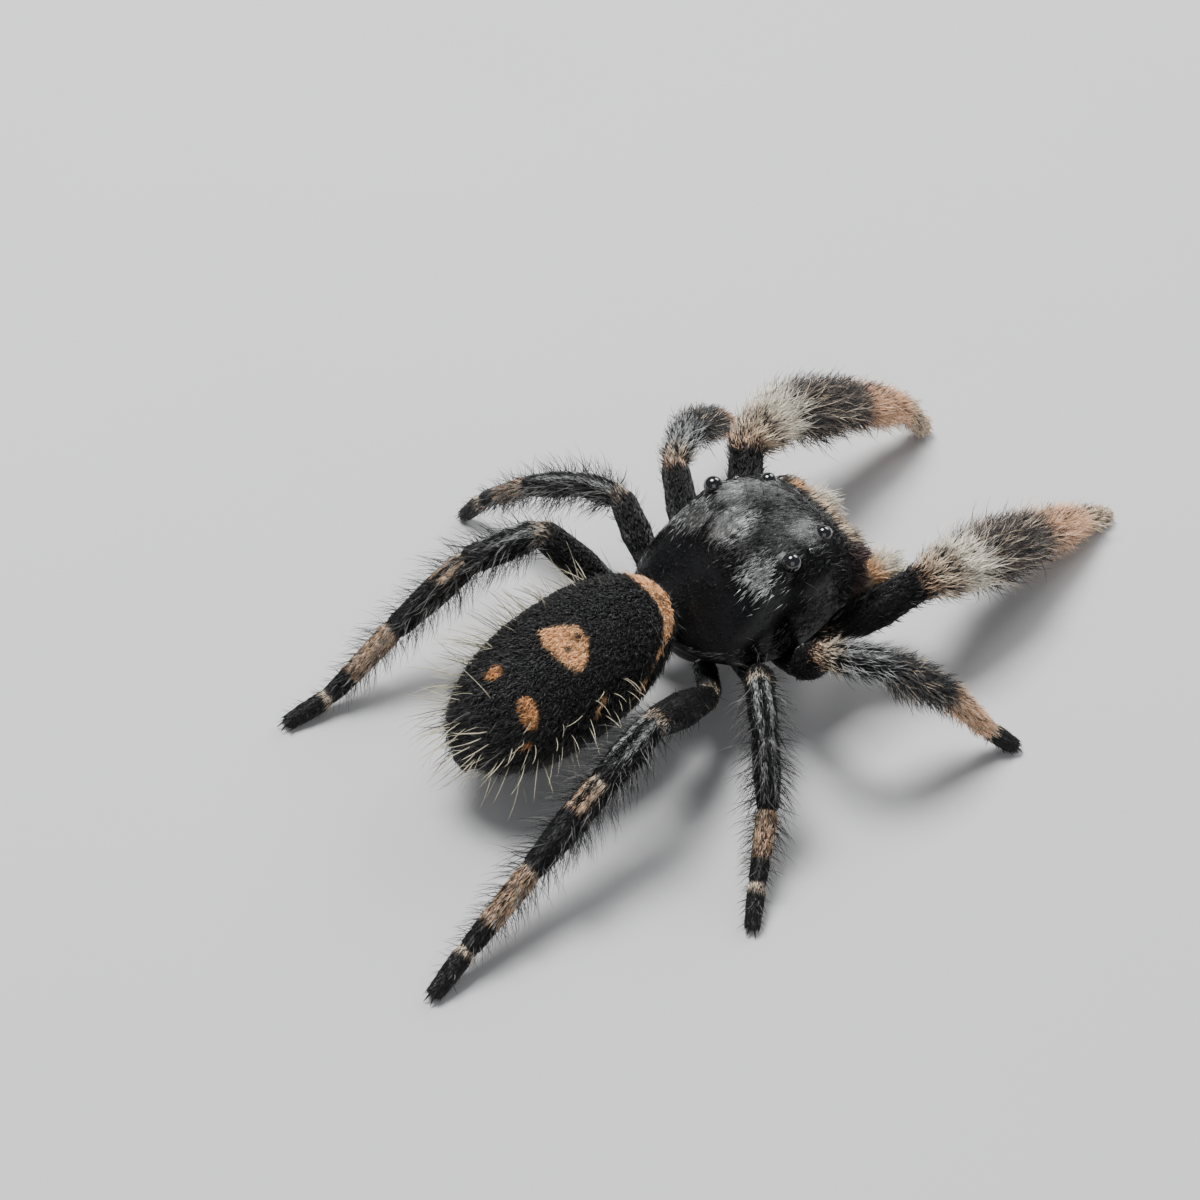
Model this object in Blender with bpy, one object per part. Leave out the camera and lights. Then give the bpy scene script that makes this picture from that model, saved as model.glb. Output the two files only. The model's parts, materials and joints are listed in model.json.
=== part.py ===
"""Regal jumping spider, life size, standing still with its front legs stretched out.

The sizes are in millimetres and are turned into metres where a mesh is made. Points are worked out
as (forward, left, up) from a spot on the floor under the back of the head shield. In the model the
spider faces -Y, its left side is +X and +Z is up. Long hair is built as locks, each a flat tapered
body that bends over along the way the coat lies, joined to the piece it grows from.
"""

import math
import random

import bmesh
import bpy
import numpy as np

MM = 0.001

# The thin cut between neighbouring pieces, and the room round an eye in its socket
GAP = 0.12
EYE_GAP = 0.06

# Head shield: a deep box-like dome, highest between the rear eyes
SHIELD_BACK = 0.42
SHIELD_FRONT = 5.20
SHIELD_HALF_WIDTH = 2.36
FACE_BOTTOM = 2.80
SHIELD_TOP = 4.80
# Shares of the shield's length from the back, then the value at each: half width over the widest,
# height of the top, of the rim and of the underside, and how round the section is
SHIELD_WIDTHS = ((0.0, 0.06, 0.16, 0.30, 0.45, 0.62, 0.80, 0.94, 1.0),
                 (0.26, 0.52, 0.80, 0.96, 1.0, 0.97, 0.90, 0.81, 0.66))
SHIELD_TOPS = ((0.0, 0.06, 0.16, 0.28, 0.42, 0.56, 0.72, 0.88, 0.96, 1.0),
               (2.70, 2.92, 3.34, 3.92, 4.50, SHIELD_TOP, 4.82, 4.60, 4.34, 4.06))
SHIELD_RIMS = ((0.0, 0.3, 0.70, 0.84, 1.0), (2.60, 2.57, 2.60, 2.96, 3.00))
SHIELD_UNDERSIDES = ((0.0, 0.68, 0.82, 1.0), (2.30, 2.30, FACE_BOTTOM, FACE_BOTTOM))
SHIELD_ROUNDNESS = ((0.0, 0.30, 0.58, 1.0), (0.90, 0.80, 0.50, 0.56))
SHIELD_NARROWING = 0.10
SHIELD_STATIONS = 15
SHIELD_SIDES = 28

# Abdomen: an egg that rises towards the front, swings a little to the right at the back and
# overhangs the shield. Its ends are (forward, left, up)
ABDOMEN_BACK = (-5.16, -0.34, 1.85)
ABDOMEN_FRONT = (0.74, 0.02, 3.16)
ABDOMEN_HALF_WIDTH = 1.76
ABDOMEN_HALF_HEIGHT = 1.50
ABDOMEN_FULLNESS = 2.3
ABDOMEN_TAPER = 0.05
# Reach above and below the middle line over the half height, and how much less below at the front
ABDOMEN_RISE = 1.08
ABDOMEN_FALL = 0.92
ABDOMEN_UNDERCUT = 0.62
ABDOMEN_ROUNDNESS = 2.15
ABDOMEN_END_ANGLE = 0.10
SPINNERET_DROP = 0.50
SPINNERET_LENGTH = 0.40
SPINNERET_RADIUS = 0.24
ABDOMEN_STATIONS = 17
ABDOMEN_SIDES = 24

# Breastplate, waist and mouth plates under the shield
STERNUM_BACK = 1.00
STERNUM_FRONT = 3.95
STERNUM_HALF_WIDTH = 0.74
STERNUM_TOP = 2.18
STERNUM_BOTTOM = 1.20
STERNUM_LEVELS = ((0.0, 1.0), (0.5, 1.0), (0.78, 0.92), (0.93, 0.74), (1.0, 0.45))
WAIST_HEIGHT = 1.92
WAIST_RADIUS = 0.25
WAIST_BEND = 0.45
MOUTH_LENGTH = 0.62
MOUTH_HALF_WIDTH = 0.86
MOUTH_HEIGHT = 0.52
MOUTH_TOP = 1.72
MOUTH_LEVELS = ((0.0, 0.9), (0.4, 1.0), (0.8, 0.86), (1.0, 0.6))

# Jaws: the stout basal pieces hang from the face, each with a fang folded under it. The bulge is
# the girth of a jaw from its top to its end
JAW_TOP = 2.66
JAW_LENGTH = 1.50
JAW_HALF_WIDTH = 0.40
JAW_HALF_DEPTH = 0.50
JAW_CENTRE = (5.02, 0.47)
JAW_LEAN = 0.28
JAW_BULGE = ((0.0, 0.14, 0.28, 0.43, 0.57, 0.71, 0.86, 1.0),
             (0.89, 0.98, 1.02, 1.02, 0.96, 0.87, 0.74, 0.58))
FANG_REACH = 0.45
FANG_RADIUS = 0.17
FANG_SPREAD = 0.16
FANG_TAPER = 0.72

# Feelers beside the jaws: joints as (forward, left, up), the same on both sides
PALP_JOINTS = ((4.86, 1.17, 1.62), (5.62, 1.34, 2.52), (6.12, 1.38, 2.86), (6.50, 1.32, 2.56),
               (6.66, 1.12, 1.46))
PALP_RADII = (0.25, 0.27, 0.30, 0.31, 0.27)
PALP_ROUNDING = 0.22
PALP_TIP = (0.85, 0.45)

# Eyes: radius and centre of the left one of each pair
EYES = {
    "eye_front_middle": (0.44, (4.98, 0.55, 3.62)),
    "eye_front_side": (0.22, (4.42, 1.13, 4.54)),
    "eye_middle_small": (0.09, (3.74, 1.52, 4.62)),
    "eye_rear": (0.24, (3.12, 1.62, 4.62)),
}

# Legs, front to back. Lengths are femur, patella, tibia, metatarsus and tarsus
LEG_LENGTHS = {
    1: (2.79, 1.54, 2.95, 2.57, 1.42),
    2: (2.44, 1.51, 2.23, 1.77, 0.93),
    3: (2.09, 1.34, 1.77, 1.85, 1.06),
    4: (2.79, 1.89, 2.51, 2.30, 1.25),
}
LEG_THICKNESS = {1: 1.16, 2: 1.0, 3: 0.94, 4: 1.04}
LEG_ROOTS = {1: (3.72, 0.84, 1.66), 2: (2.94, 0.88, 1.66), 3: (2.14, 0.88, 1.66), 4: (1.34, 0.82, 1.68)}
LEG_HIPS = {1: (4.35, 1.85, 1.70), 2: (3.15, 2.30, 1.70), 3: (2.00, 2.35, 1.70), 4: (0.75, 2.00, 1.75)}

# The stance: for each length but the last, degrees outward from straight ahead and degrees up.
# The tarsus has only the first, because it comes down to the floor from wherever the leg leaves it
LEG_STANCE = {
    ("left", 1): ((54, 42), (23, 1), (10, -22), (5, -29), -8),
    ("right", 1): ((10, 24), (-11, -12), (-13, -18), (-11, -20), -7),
    ("left", 2): ((74, 44), (43, -1), (30, -31), (26, -42), 26),
    ("right", 2): ((113, 52), (33, -8), (18, -39), (28, -49), 37),
    ("left", 3): ((96, 49), (107, -14), (117, -27), (113, -40), 121),
    ("right", 3): ((135, 51), (115, -27), (115, -58), (132, -20), 131),
    ("left", 4): ((142, 45), (160, -20), (173, -37), (185, -31), 182),
    ("right", 4): ((157, 26), (163, -16), (165, -24), (163, -21), 162),
}

# Leg radius where each named place lies: (segment, share of its length, radius)
LEG_PROFILE = (
    ("coxa", 0.0, 0.31), ("coxa", 0.6, 0.34), ("coxa", 1.0, 0.32),
    ("femur", 0.15, 0.36), ("femur", 0.5, 0.46), ("femur", 0.85, 0.41), ("femur", 1.0, 0.37),
    ("patella", 0.5, 0.41), ("patella", 1.0, 0.36),
    ("tibia", 0.45, 0.39), ("tibia", 1.0, 0.31),
    ("metatarsus", 0.3, 0.30), ("metatarsus", 1.0, 0.26),
    ("tarsus", 0.5, 0.255), ("tarsus", 1.0, 0.22),
)
SEGMENTS = ("coxa", "femur", "patella", "tibia", "metatarsus", "tarsus")
LEG_SIDES = 8
KNEE_RADIUS = 0.41
JOINT_ROUNDING = 0.30
FOOT_HEIGHT = 0.11
PATH_STEP = 0.03
# How far a bend may reach: times the tube's radius, and as a share of the stretch beside it
BEND_ROOM = 1.15
BEND_SHARE = 0.45

LEG_FLATTEN = 0.94
FOOT_TIP = ((0.10, 0.80), (0.16, 0.40))

# Which lengths each node of a leg holds, and how many rings it is drawn with
LEG_NODES = (("coxa", 0, 1, 5), ("femur", 1, 2, 8), ("patella_tibia", 2, 4, 12),
             ("metatarsus_tarsus", 4, 6, 12))

# Locks of hair: how deep a root sits, the ridge along the middle, and for each section after the root
# its share of the length, of the width, of the ridge and of the angle at which the lock stands off
SEED = 11
LOCK_SINK = 0.16
LOCK_RIDGE = 0.26
LOCK_SECTIONS = ((0.30, 1.0, 1.0, 1.0), (0.38, 0.74, 0.70, 0.55), (0.32, 0.16, 0.24, 0.10))
LOCK_ROOT_WIDTH = 0.80
LOCK_VARIATION = 0.16
LOCK_CLEARANCE = 0.15

# Fringes of the legs: rows along the node, locks round a row, first and last share of the node's
# length, length and width of a lock, and degrees it stands off
LEG_LOCKS = {
    (1, "patella_tibia"): (5, 4, 0.10, 0.93, 1.00, 0.54, 54),
    (1, "metatarsus_tarsus"): (4, 3, 0.05, 0.62, 0.60, 0.42, 46),
    (2, "patella_tibia"): (3, 3, 0.38, 0.93, 0.72, 0.50, 46),
}
LEG_LOCK_SPREAD = 118

# Hair of the feelers, on their upper and inner sides
PALP_LOCKS = (2, 3, 0.42, 0.74, 0.50, 0.38, 34)
PALP_LOCK_SPREAD = 62

# Fringe over the front eyes
BROW_LOCKS = 13
BROW_HALF_WIDTH = 1.36
BROW_SHARE = 0.972
BROW_LENGTH = 0.72
BROW_WIDTH = 0.28
BROW_LIFT = 34
BROW_CLEARANCE = 0.085

# Coat of the abdomen: rows from the back as shares of its length, with the locks in each
ABDOMEN_LOCK_ROWS = ((0.04, 6), (0.13, 8), (0.27, 8), (0.43, 7), (0.60, 6))
ABDOMEN_LOCK_LENGTH = 1.04
ABDOMEN_LOCK_WIDTH = 0.60
ABDOMEN_LOCK_LIFT = (44, 19)
ABDOMEN_LOCK_SPREAD = 124

# Colours, roughness and metallic value of each finish
FINISHES = {
    "black_shell": ((0.012, 0.012, 0.014), 0.35, 0.0),
    "black_velvet": ((0.010, 0.010, 0.011), 0.85, 0.0),
    "dark_leg": ((0.018, 0.017, 0.018), 0.65, 0.0),
    "jaw": ((0.020, 0.012, 0.018), 0.30, 0.2),
    "eye": ((0.004, 0.004, 0.005), 0.04, 0.0),
}


def clear_scene():
    """Removes whatever the opened file holds."""
    for thing in list(bpy.data.objects):
        bpy.data.objects.remove(thing, do_unlink=True)


def finish(name):
    """Makes or finds the Principled material of one finish."""
    found = bpy.data.materials.get(name)
    if found:
        return found
    colour, roughness, metallic = FINISHES[name]
    material = bpy.data.materials.new(name)
    material.use_nodes = True
    shader = material.node_tree.nodes["Principled BSDF"]
    shader.inputs["Base Color"].default_value = (*colour, 1.0)
    shader.inputs["Roughness"].default_value = roughness
    shader.inputs["Metallic"].default_value = metallic
    material.diffuse_color = (*colour, 1.0)
    return material


def to_model(points):
    """Turns (forward, left, up) in millimetres into model x, y, z in metres."""
    points = np.asarray(points, float)
    return np.stack([points[..., 1], -points[..., 0], points[..., 2]], axis=-1) * MM


def solid(name, rings, finish_name):
    """Skins a stack of rings into one closed body with flat ends."""
    rings = to_model(rings)
    count, sides = rings.shape[:2]
    faces = [tuple(range(sides)), tuple((count - 1) * sides + k for k in range(sides))]
    for i in range(count - 1):
        for k in range(sides):
            a = i * sides + k
            b = i * sides + (k + 1) % sides
            faces.append((a, b, b + sides, a + sides))
    mesh = bpy.data.meshes.new(name)
    mesh.from_pydata(rings.reshape(-1, 3).tolist(), [], faces)
    work = bmesh.new()
    work.from_mesh(mesh)
    bmesh.ops.recalc_face_normals(work, faces=work.faces)
    bmesh.ops.triangulate(work, faces=work.faces)
    work.to_mesh(mesh)
    work.free()
    mesh.shade_smooth()
    mesh.set_sharp_from_angle(angle=math.radians(50))
    mesh.materials.append(finish(finish_name))
    thing = bpy.data.objects.new(name, mesh)
    bpy.context.scene.collection.objects.link(thing)
    return thing


def combine(target, tools, operation, solver):
    """Joins tools to the target, or cuts them from it, and keeps the largest closed surface."""
    group = bpy.data.collections.new("tools")
    for tool in tools:
        group.objects.link(tool)
    change = target.modifiers.new("combine", "BOOLEAN")
    change.operation = operation
    change.solver = solver
    change.operand_type = "COLLECTION"
    change.collection = group
    graph = bpy.context.evaluated_depsgraph_get()
    result = bpy.data.meshes.new_from_object(target.evaluated_get(graph))
    target.modifiers.clear()
    target.data = result
    for tool in list(tools):
        bpy.data.objects.remove(tool, do_unlink=True)
    bpy.data.collections.remove(group)
    keep_largest(result)
    result.shade_smooth()
    result.set_sharp_from_angle(angle=math.radians(50))


def keep_largest(mesh):
    """Deletes every connected surface of the mesh but the one with the most volume."""
    work = bmesh.new()
    work.from_mesh(mesh)
    bmesh.ops.triangulate(work, faces=work.faces)
    left = set(work.faces)
    shells = []
    while left:
        todo = [left.pop()]
        shell = []
        while todo:
            face = todo.pop()
            shell.append(face)
            for edge in face.edges:
                for other in edge.link_faces:
                    if other in left:
                        left.remove(other)
                        todo.append(other)
        shells.append(shell)
    shells.sort(key=shell_volume)
    for shell in shells[:-1]:
        bmesh.ops.delete(work, geom=shell, context="FACES")
    loose = [vert for vert in work.verts if not vert.link_faces]
    bmesh.ops.delete(work, geom=loose, context="VERTS")
    work.to_mesh(mesh)
    work.free()


def shell_volume(shell):
    """Signed volume of a list of triangles."""
    total = 0.0
    for face in shell:
        a, b, c = (vert.co for vert in face.verts)
        total += a.dot(b.cross(c)) / 6.0
    return total


def unit(vector):
    """The vector at length one, along the last axis."""
    return vector / np.linalg.norm(vector, axis=-1, keepdims=True)


def outline_points(angle, power):
    """Points (across, up) at the angles given on a superellipse that reaches one each way."""
    across = np.sign(np.cos(angle)) * np.abs(np.cos(angle)) ** (2.0 / power)
    up = np.sign(np.sin(angle)) * np.abs(np.sin(angle)) ** (2.0 / power)
    return np.stack([across, up], axis=-1)


def circle(sides, power=2.0):
    """A closed outline of evenly turned points on a superellipse."""
    return outline_points((np.arange(sides) + 0.5) * 2.0 * math.pi / sides, power)


def varied(draw):
    """A factor near one, for the small differences between like pieces."""
    return draw.uniform(1.0 - LOCK_VARIATION, 1.0 + LOCK_VARIATION)


def lock_spine(root, outward, lie, length, lift):
    """Middle line of one lock, from under the skin out and over along the lie.

    Each stretch stands off the skin by its share of lift, in degrees.
    """
    points = [root - LOCK_SINK * outward]
    reach = LOCK_SINK
    for share, _, _, slope in LOCK_SECTIONS:
        pitch = math.radians(lift * slope)
        reach += share * length
        points.append(points[-1] + reach * (math.cos(pitch) * lie + math.sin(pitch) * outward))
        reach = 0.0
    return np.array(points)


def lock(spine, outward, width, finish_name):
    """One lock about its middle line: three-sided sections, flat below and ridged above."""
    along = unit(np.diff(spine, axis=0))
    along = np.concatenate([along[:1], along])
    across = unit(np.cross(along, outward))
    ridge = np.cross(across, along)
    wide = 0.5 * width * np.array([LOCK_ROOT_WIDTH] + [section[1] for section in LOCK_SECTIONS])[:, None]
    high = LOCK_RIDGE * np.array([1.0] + [section[2] for section in LOCK_SECTIONS])[:, None]
    rings = np.stack([spine - wide * across, spine + wide * across, spine + high * ridge], axis=1)
    return solid("lock", rings, finish_name)


def tube_frame(along):
    """Sideways and upward directions square to the directions given."""
    side = unit(np.cross(along, (0.0, 0.0, 1.0)))
    return side, np.cross(side, along)


def tube_locks(draw, path, radius_at, stretch, plan, facing, spread):
    """Locks in staggered rows round a tube, leaning towards its far end.

    They are spread in degrees either side of facing, where 0 is the tube's underside.
    """
    rows, across, first, last, length, width, lift = plan
    start, end = stretch
    locks = []
    for row in range(rows):
        for place in range(across):
            share = first + (last - first) * (row + draw.uniform(-0.2, 0.2)) / (rows - 1)
            where = start + share * (end - start)
            turn = (place + 0.25 + 0.5 * (row % 2) + draw.uniform(-0.12, 0.12)) / across
            angle = math.radians(facing + spread * (2.0 * turn - 1.0))
            centre = extend(path, np.array([where]))[0]
            along = unit(extend(path, np.array([where + 0.05]))[0] - centre)
            side, top = tube_frame(along)
            outward = math.sin(angle) * side - math.cos(angle) * top
            root = centre + radius_at(where) * outward
            fade = 1.0 - 0.25 * abs(2.0 * share - 1.0)
            spine = lock_spine(root, outward, along, length * fade * varied(draw), lift * varied(draw))
            if spine[:, 2].min() > LOCK_CLEARANCE:
                locks.append(lock(spine, outward, width * varied(draw), "dark_leg"))
    return locks


def tube_rings(path, radii, sides, flatten=1.0, along=None):
    """Rings square to a path of points, or to the directions given, as upright as those allow."""
    path = np.asarray(path, float)
    along = unit(np.gradient(path, axis=0) if along is None else along)
    side, top = tube_frame(along)
    outline = circle(sides)
    radii = np.asarray(radii, float)[:, None, None]
    across = outline[None, :, :1] * side[:, None, :] * flatten
    upward = outline[None, :, 1:] * top[:, None, :]
    return path[:, None, :] + radii * (across + upward)


def rounded_path(joints, rounding, girth):
    """A fine polyline through the joints, each corner rounded enough for a tube of that radius."""
    joints = np.asarray(joints, float)
    points = [joints[0]]
    share = np.linspace(0.0, 1.0, 9)[:, None]
    for before, corner, after in zip(joints, joints[1:], joints[2:]):
        turn = math.acos(np.clip(unit(corner - before) @ unit(after - corner), -1.0, 1.0))
        wanted = max(rounding, BEND_ROOM * girth * math.tan(0.5 * turn))
        shorter = min(np.linalg.norm(corner - before), np.linalg.norm(after - corner))
        reach = min(wanted, BEND_SHARE * shorter)
        start = corner + unit(before - corner) * reach
        end = corner + unit(after - corner) * reach
        points.extend((1 - share) ** 2 * start + 2 * share * (1 - share) * corner + share ** 2 * end)
    points.append(joints[-1])
    return np.array(points)


def along_path(path, where):
    """Points of a polyline at the given distances from its start."""
    travelled = np.concatenate([[0.0], np.cumsum(np.linalg.norm(np.diff(path, axis=0), axis=1))])
    return np.stack([np.interp(where, travelled, path[:, k]) for k in range(3)], axis=-1)


def path_length(path):
    """Length of a polyline."""
    return float(np.linalg.norm(np.diff(path, axis=0), axis=1).sum())


def shield_section(share):
    """Half width and the heights of top, rim and underside at a share of the length from the back."""
    half_width = SHIELD_HALF_WIDTH * np.interp(share, *SHIELD_WIDTHS)
    top = np.interp(share, *SHIELD_TOPS)
    rim = np.interp(share, *SHIELD_RIMS)
    under = np.interp(share, *SHIELD_UNDERSIDES)
    return half_width, top, rim, under


def shield_ring(share):
    """One cross section of the shield: squarish dome above the rim, shallow pan below it."""
    half_width, top, rim, under = shield_section(share)
    angle = (np.arange(SHIELD_SIDES) + 0.5) * 2.0 * math.pi / SHIELD_SIDES
    over = np.sin(angle) > 0
    roundness = np.interp(share, *SHIELD_ROUNDNESS)
    power = np.where(over, roundness, 0.5)
    across = np.sign(np.cos(angle)) * np.abs(np.cos(angle)) ** power
    up = np.abs(np.sin(angle)) ** power
    high = rim + (top - rim) * up
    low = rim - (rim - under) * up
    forward = SHIELD_BACK + (SHIELD_FRONT - SHIELD_BACK) * share
    narrowing = 1.0 - SHIELD_NARROWING * np.where(over, up ** 2, 0.0)
    sideways = half_width * across * narrowing
    return np.stack([np.full(SHIELD_SIDES, forward), sideways, np.where(over, high, low)], -1)


def make_shield(draw):
    """The head shield, with eight sockets cut for the eyes and a fringe over the front ones."""
    shares = 0.5 - 0.5 * np.cos(np.linspace(0.0, math.pi, SHIELD_STATIONS))
    rings = [shield_ring(share) for share in shares]
    thing = solid("carapace", np.array(rings), "black_shell")
    sockets = []
    for radius, centre, name in eye_places():
        sockets.append(ball("socket_" + name, radius + EYE_GAP, centre, "eye"))
    combine(thing, sockets, "DIFFERENCE", "EXACT")
    combine(thing, brow_locks(draw), "UNION", "MANIFOLD")


def brow_locks(draw):
    """Locks along the upper edge of the face that reach forward and dip at their tips."""
    ring = shield_ring(BROW_SHARE)
    edge = ring[ring[:, 2] > shield_section(BROW_SHARE)[2]]
    edge = edge[np.argsort(edge[:, 1])]
    lie = unit(np.array((1.0, 0.0, -0.30)))
    outward = np.array((0.30, 0.0, 1.0))
    locks = []
    for spot in np.linspace(-BROW_HALF_WIDTH, BROW_HALF_WIDTH, BROW_LOCKS):
        root = np.array((edge[0, 0], spot, np.interp(spot, edge[:, 1], edge[:, 2])))
        splay = np.array((0.0, 0.16 * spot, 0.0))
        length = BROW_LENGTH * varied(draw)
        spine = lock_spine(root, unit(outward), unit(lie + splay), length, BROW_LIFT * varied(draw))
        if clear_of_eyes(spine):
            locks.append(lock(spine, unit(outward), BROW_WIDTH, "black_shell"))
    return locks


def clear_of_eyes(spine):
    """Whether no part of a lock's middle line comes near an eye."""
    fine = along_path(spine, np.linspace(0.0, path_length(spine), 12))
    return all(np.linalg.norm(fine - np.array(centre), axis=1).min() > radius + BROW_CLEARANCE
               for radius, centre, _ in eye_places())


def ball(name, radius, centre, finish_name):
    """A sphere drawn as rings along the forward axis."""
    sides = 14 if radius > 0.3 else 10
    turn = np.linspace(math.pi, 0.0, sides // 2 + 2)[1:-1]
    outline = circle(sides)
    rings = np.zeros((len(turn), sides, 3))
    rings[..., 0] = centre[0] + radius * np.cos(turn)[:, None]
    rings[..., 1] = centre[1] + radius * np.sin(turn)[:, None] * outline[None, :, 0]
    rings[..., 2] = centre[2] + radius * np.sin(turn)[:, None] * outline[None, :, 1]
    return solid(name, rings, finish_name)


def eye_places():
    """Radius, centre and name of each of the eight eyes."""
    for pair, (radius, centre) in EYES.items():
        for side, sign in (("left", 1), ("right", -1)):
            yield radius, (centre[0], sign * centre[1], centre[2]), f"{pair}_{side}"


def make_eyes():
    """Eight separate balls, each in its socket."""
    for radius, centre, name in eye_places():
        ball(name, radius, centre, "eye")


def abdomen_section(share):
    """Centre, half width and reach above and below it at a share of the length from the back."""
    back, front = np.array(ABDOMEN_BACK), np.array(ABDOMEN_FRONT)
    centre = back + (front - back) * share
    offset = 2.0 * share - 1.0
    full = (1.0 - np.abs(offset) ** ABDOMEN_FULLNESS) ** 0.5
    half_width = ABDOMEN_HALF_WIDTH * full * (1.0 - ABDOMEN_TAPER * offset)
    half_height = ABDOMEN_HALF_HEIGHT * full
    undercut = ABDOMEN_UNDERCUT * np.interp(share, (0.70, 0.94), (0.0, 1.0))
    return centre, half_width, ABDOMEN_RISE * half_height, half_height * (ABDOMEN_FALL - undercut)


def abdomen_ring(share, outline):
    """Points of one cross section of the abdomen, for an outline that reaches one each way."""
    centre, half_width, above, below = abdomen_section(share)
    up = outline[:, 1] * np.where(outline[:, 1] > 0, above, below)
    return np.stack([np.full(len(outline), centre[0]), centre[1] + outline[:, 0] * half_width,
                     centre[2] + up], -1)


def make_abdomen(draw):
    """The egg-shaped abdomen, slightly flatter below than above, with its bristly coat."""
    turn = np.linspace(ABDOMEN_END_ANGLE, math.pi - ABDOMEN_END_ANGLE, ABDOMEN_STATIONS)
    shares = 0.5 - 0.5 * np.cos(turn)
    outline = circle(ABDOMEN_SIDES, ABDOMEN_ROUNDNESS)
    rings = [abdomen_ring(share, outline) for share in shares]
    thing = solid("abdomen", np.array(rings), "black_velvet")
    combine(thing, abdomen_locks(draw), "UNION", "MANIFOLD")


def abdomen_locks(draw):
    """Locks over the back and flanks, lying towards the rear and standing off more there."""
    locks = []
    for row, (share, count) in enumerate(ABDOMEN_LOCK_ROWS):
        lift = np.interp(share, (0.0, 0.3), ABDOMEN_LOCK_LIFT)
        for place in range(count):
            turn = (place + 0.25 + 0.5 * (row % 2) + draw.uniform(-0.15, 0.15)) / count
            angle = math.radians(90 + ABDOMEN_LOCK_SPREAD * (2.0 * turn - 1.0))
            root, outward = abdomen_skin(share + draw.uniform(-0.012, 0.012), angle)
            backward = np.array((-1.0, 0.0, -0.35))
            lie = unit(backward - (backward @ outward) * outward)
            length = ABDOMEN_LOCK_LENGTH * varied(draw)
            spine = lock_spine(root, outward, lie, length, lift * varied(draw))
            locks.append(lock(spine, outward, ABDOMEN_LOCK_WIDTH * varied(draw), "black_velvet"))
    return locks


def abdomen_skin(share, angle):
    """A point of the abdomen's skin and the way the skin faces there."""
    step = 0.01
    outline = outline_points(np.array((angle - step, angle, angle + step)), ABDOMEN_ROUNDNESS)
    here = abdomen_ring(share, outline)
    ahead = abdomen_ring(share + step, outline)[1]
    behind = abdomen_ring(share - step, outline)[1]
    return here[1], unit(np.cross(ahead - behind, here[2] - here[0]))


def abdomen_underside(height, first, last):
    """The point of the abdomen's lower midline at a height, and the way its skin faces there.

    The midline is searched between two shares of the length, from its lower to its higher end.
    """
    curve = []
    for share in np.linspace(first, last, 200):
        centre, _, _, below = abdomen_section(share)
        curve.append((centre[0], centre[1], centre[2] - below))
    curve = np.array(curve)
    slope = np.gradient(curve, axis=0)
    point = np.array([np.interp(height, curve[:, 2], curve[:, k]) for k in range(3)])
    rise, run = (np.interp(height, curve[:, 2], slope[:, k]) for k in (2, 0))
    outward = unit(np.array((abs(rise) * math.copysign(1.0, run), 0.0, -abs(run))))
    return point, outward


def make_waist():
    """The short stalk from the breastplate back to the abdomen, bent to meet it squarely."""
    skin, outward = abdomen_underside(WAIST_HEIGHT + WAIST_RADIUS, 0.6, 0.99)
    start = np.array((STERNUM_BACK - GAP, 0.0, WAIST_HEIGHT))
    end = skin + GAP * outward
    bend = end + WAIST_BEND * outward
    share = np.linspace(0.0, 1.0, 7)[:, None]
    path = (1 - share) ** 2 * start + 2 * share * (1 - share) * bend + share ** 2 * end
    return solid("pedicel", tube_rings(path, [WAIST_RADIUS] * 7, 10), "black_shell")


def make_sternum():
    """The breastplate, an oval block that bulges downward between the hips."""
    middle = 0.5 * (STERNUM_BACK + STERNUM_FRONT)
    half_length = 0.5 * (STERNUM_FRONT - STERNUM_BACK)
    outline = circle(18, 2.8)
    depth = STERNUM_TOP - STERNUM_BOTTOM
    rings = []
    for down, size in STERNUM_LEVELS:
        rings.append(np.stack([middle + outline[:, 1] * half_length * size,
                               outline[:, 0] * STERNUM_HALF_WIDTH * size,
                               np.full(18, STERNUM_TOP - depth * down)], -1))
    return solid("sternum", np.array(rings), "black_shell")


def make_mouth():
    """The plates beside and behind the mouth, as one low block before the breastplate."""
    back = STERNUM_FRONT + GAP
    outline = circle(14, 2.6)
    rings = []
    for down, size in MOUTH_LEVELS:
        rings.append(np.stack([back + MOUTH_LENGTH * 0.5 * (1 + outline[:, 1] * size),
                               outline[:, 0] * MOUTH_HALF_WIDTH * size,
                               np.full(14, MOUTH_TOP - MOUTH_HEIGHT * down)], -1))
    return solid("mouthparts", np.array(rings), "black_shell")


def make_jaw(side, sign):
    """One stout jaw under the face and the fang folded beneath it."""
    outline = circle(14, 2.5)
    rings = []
    bottom = JAW_TOP - JAW_LENGTH
    for down, bulge in zip(*JAW_BULGE):
        forward = JAW_CENTRE[0] + JAW_LEAN * down
        height = JAW_TOP - JAW_LENGTH * down
        rings.append(np.stack([forward + outline[:, 1] * JAW_HALF_DEPTH * bulge,
                               sign * JAW_CENTRE[1] + outline[:, 0] * JAW_HALF_WIDTH * min(bulge, 1.0),
                               np.full(14, height)], -1))
    solid(f"chelicera_{side}", np.array(rings), "jaw")
    root = np.array((JAW_CENTRE[0] + JAW_LEAN, sign * (JAW_CENTRE[1] + FANG_SPREAD),
                     bottom - GAP - FANG_RADIUS))
    share = np.linspace(0.0, 1.0, 6)[:, None]
    curve = root + np.array((-0.12, -sign * FANG_REACH, 0.0)) * share
    curve = curve + np.array((-0.16, 0.0, -0.03)) * share ** 2
    radii = FANG_RADIUS * (1.0 - FANG_TAPER * share[:, 0])
    solid(f"fang_{side}", tube_rings(curve, radii, 8), "jaw")


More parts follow.
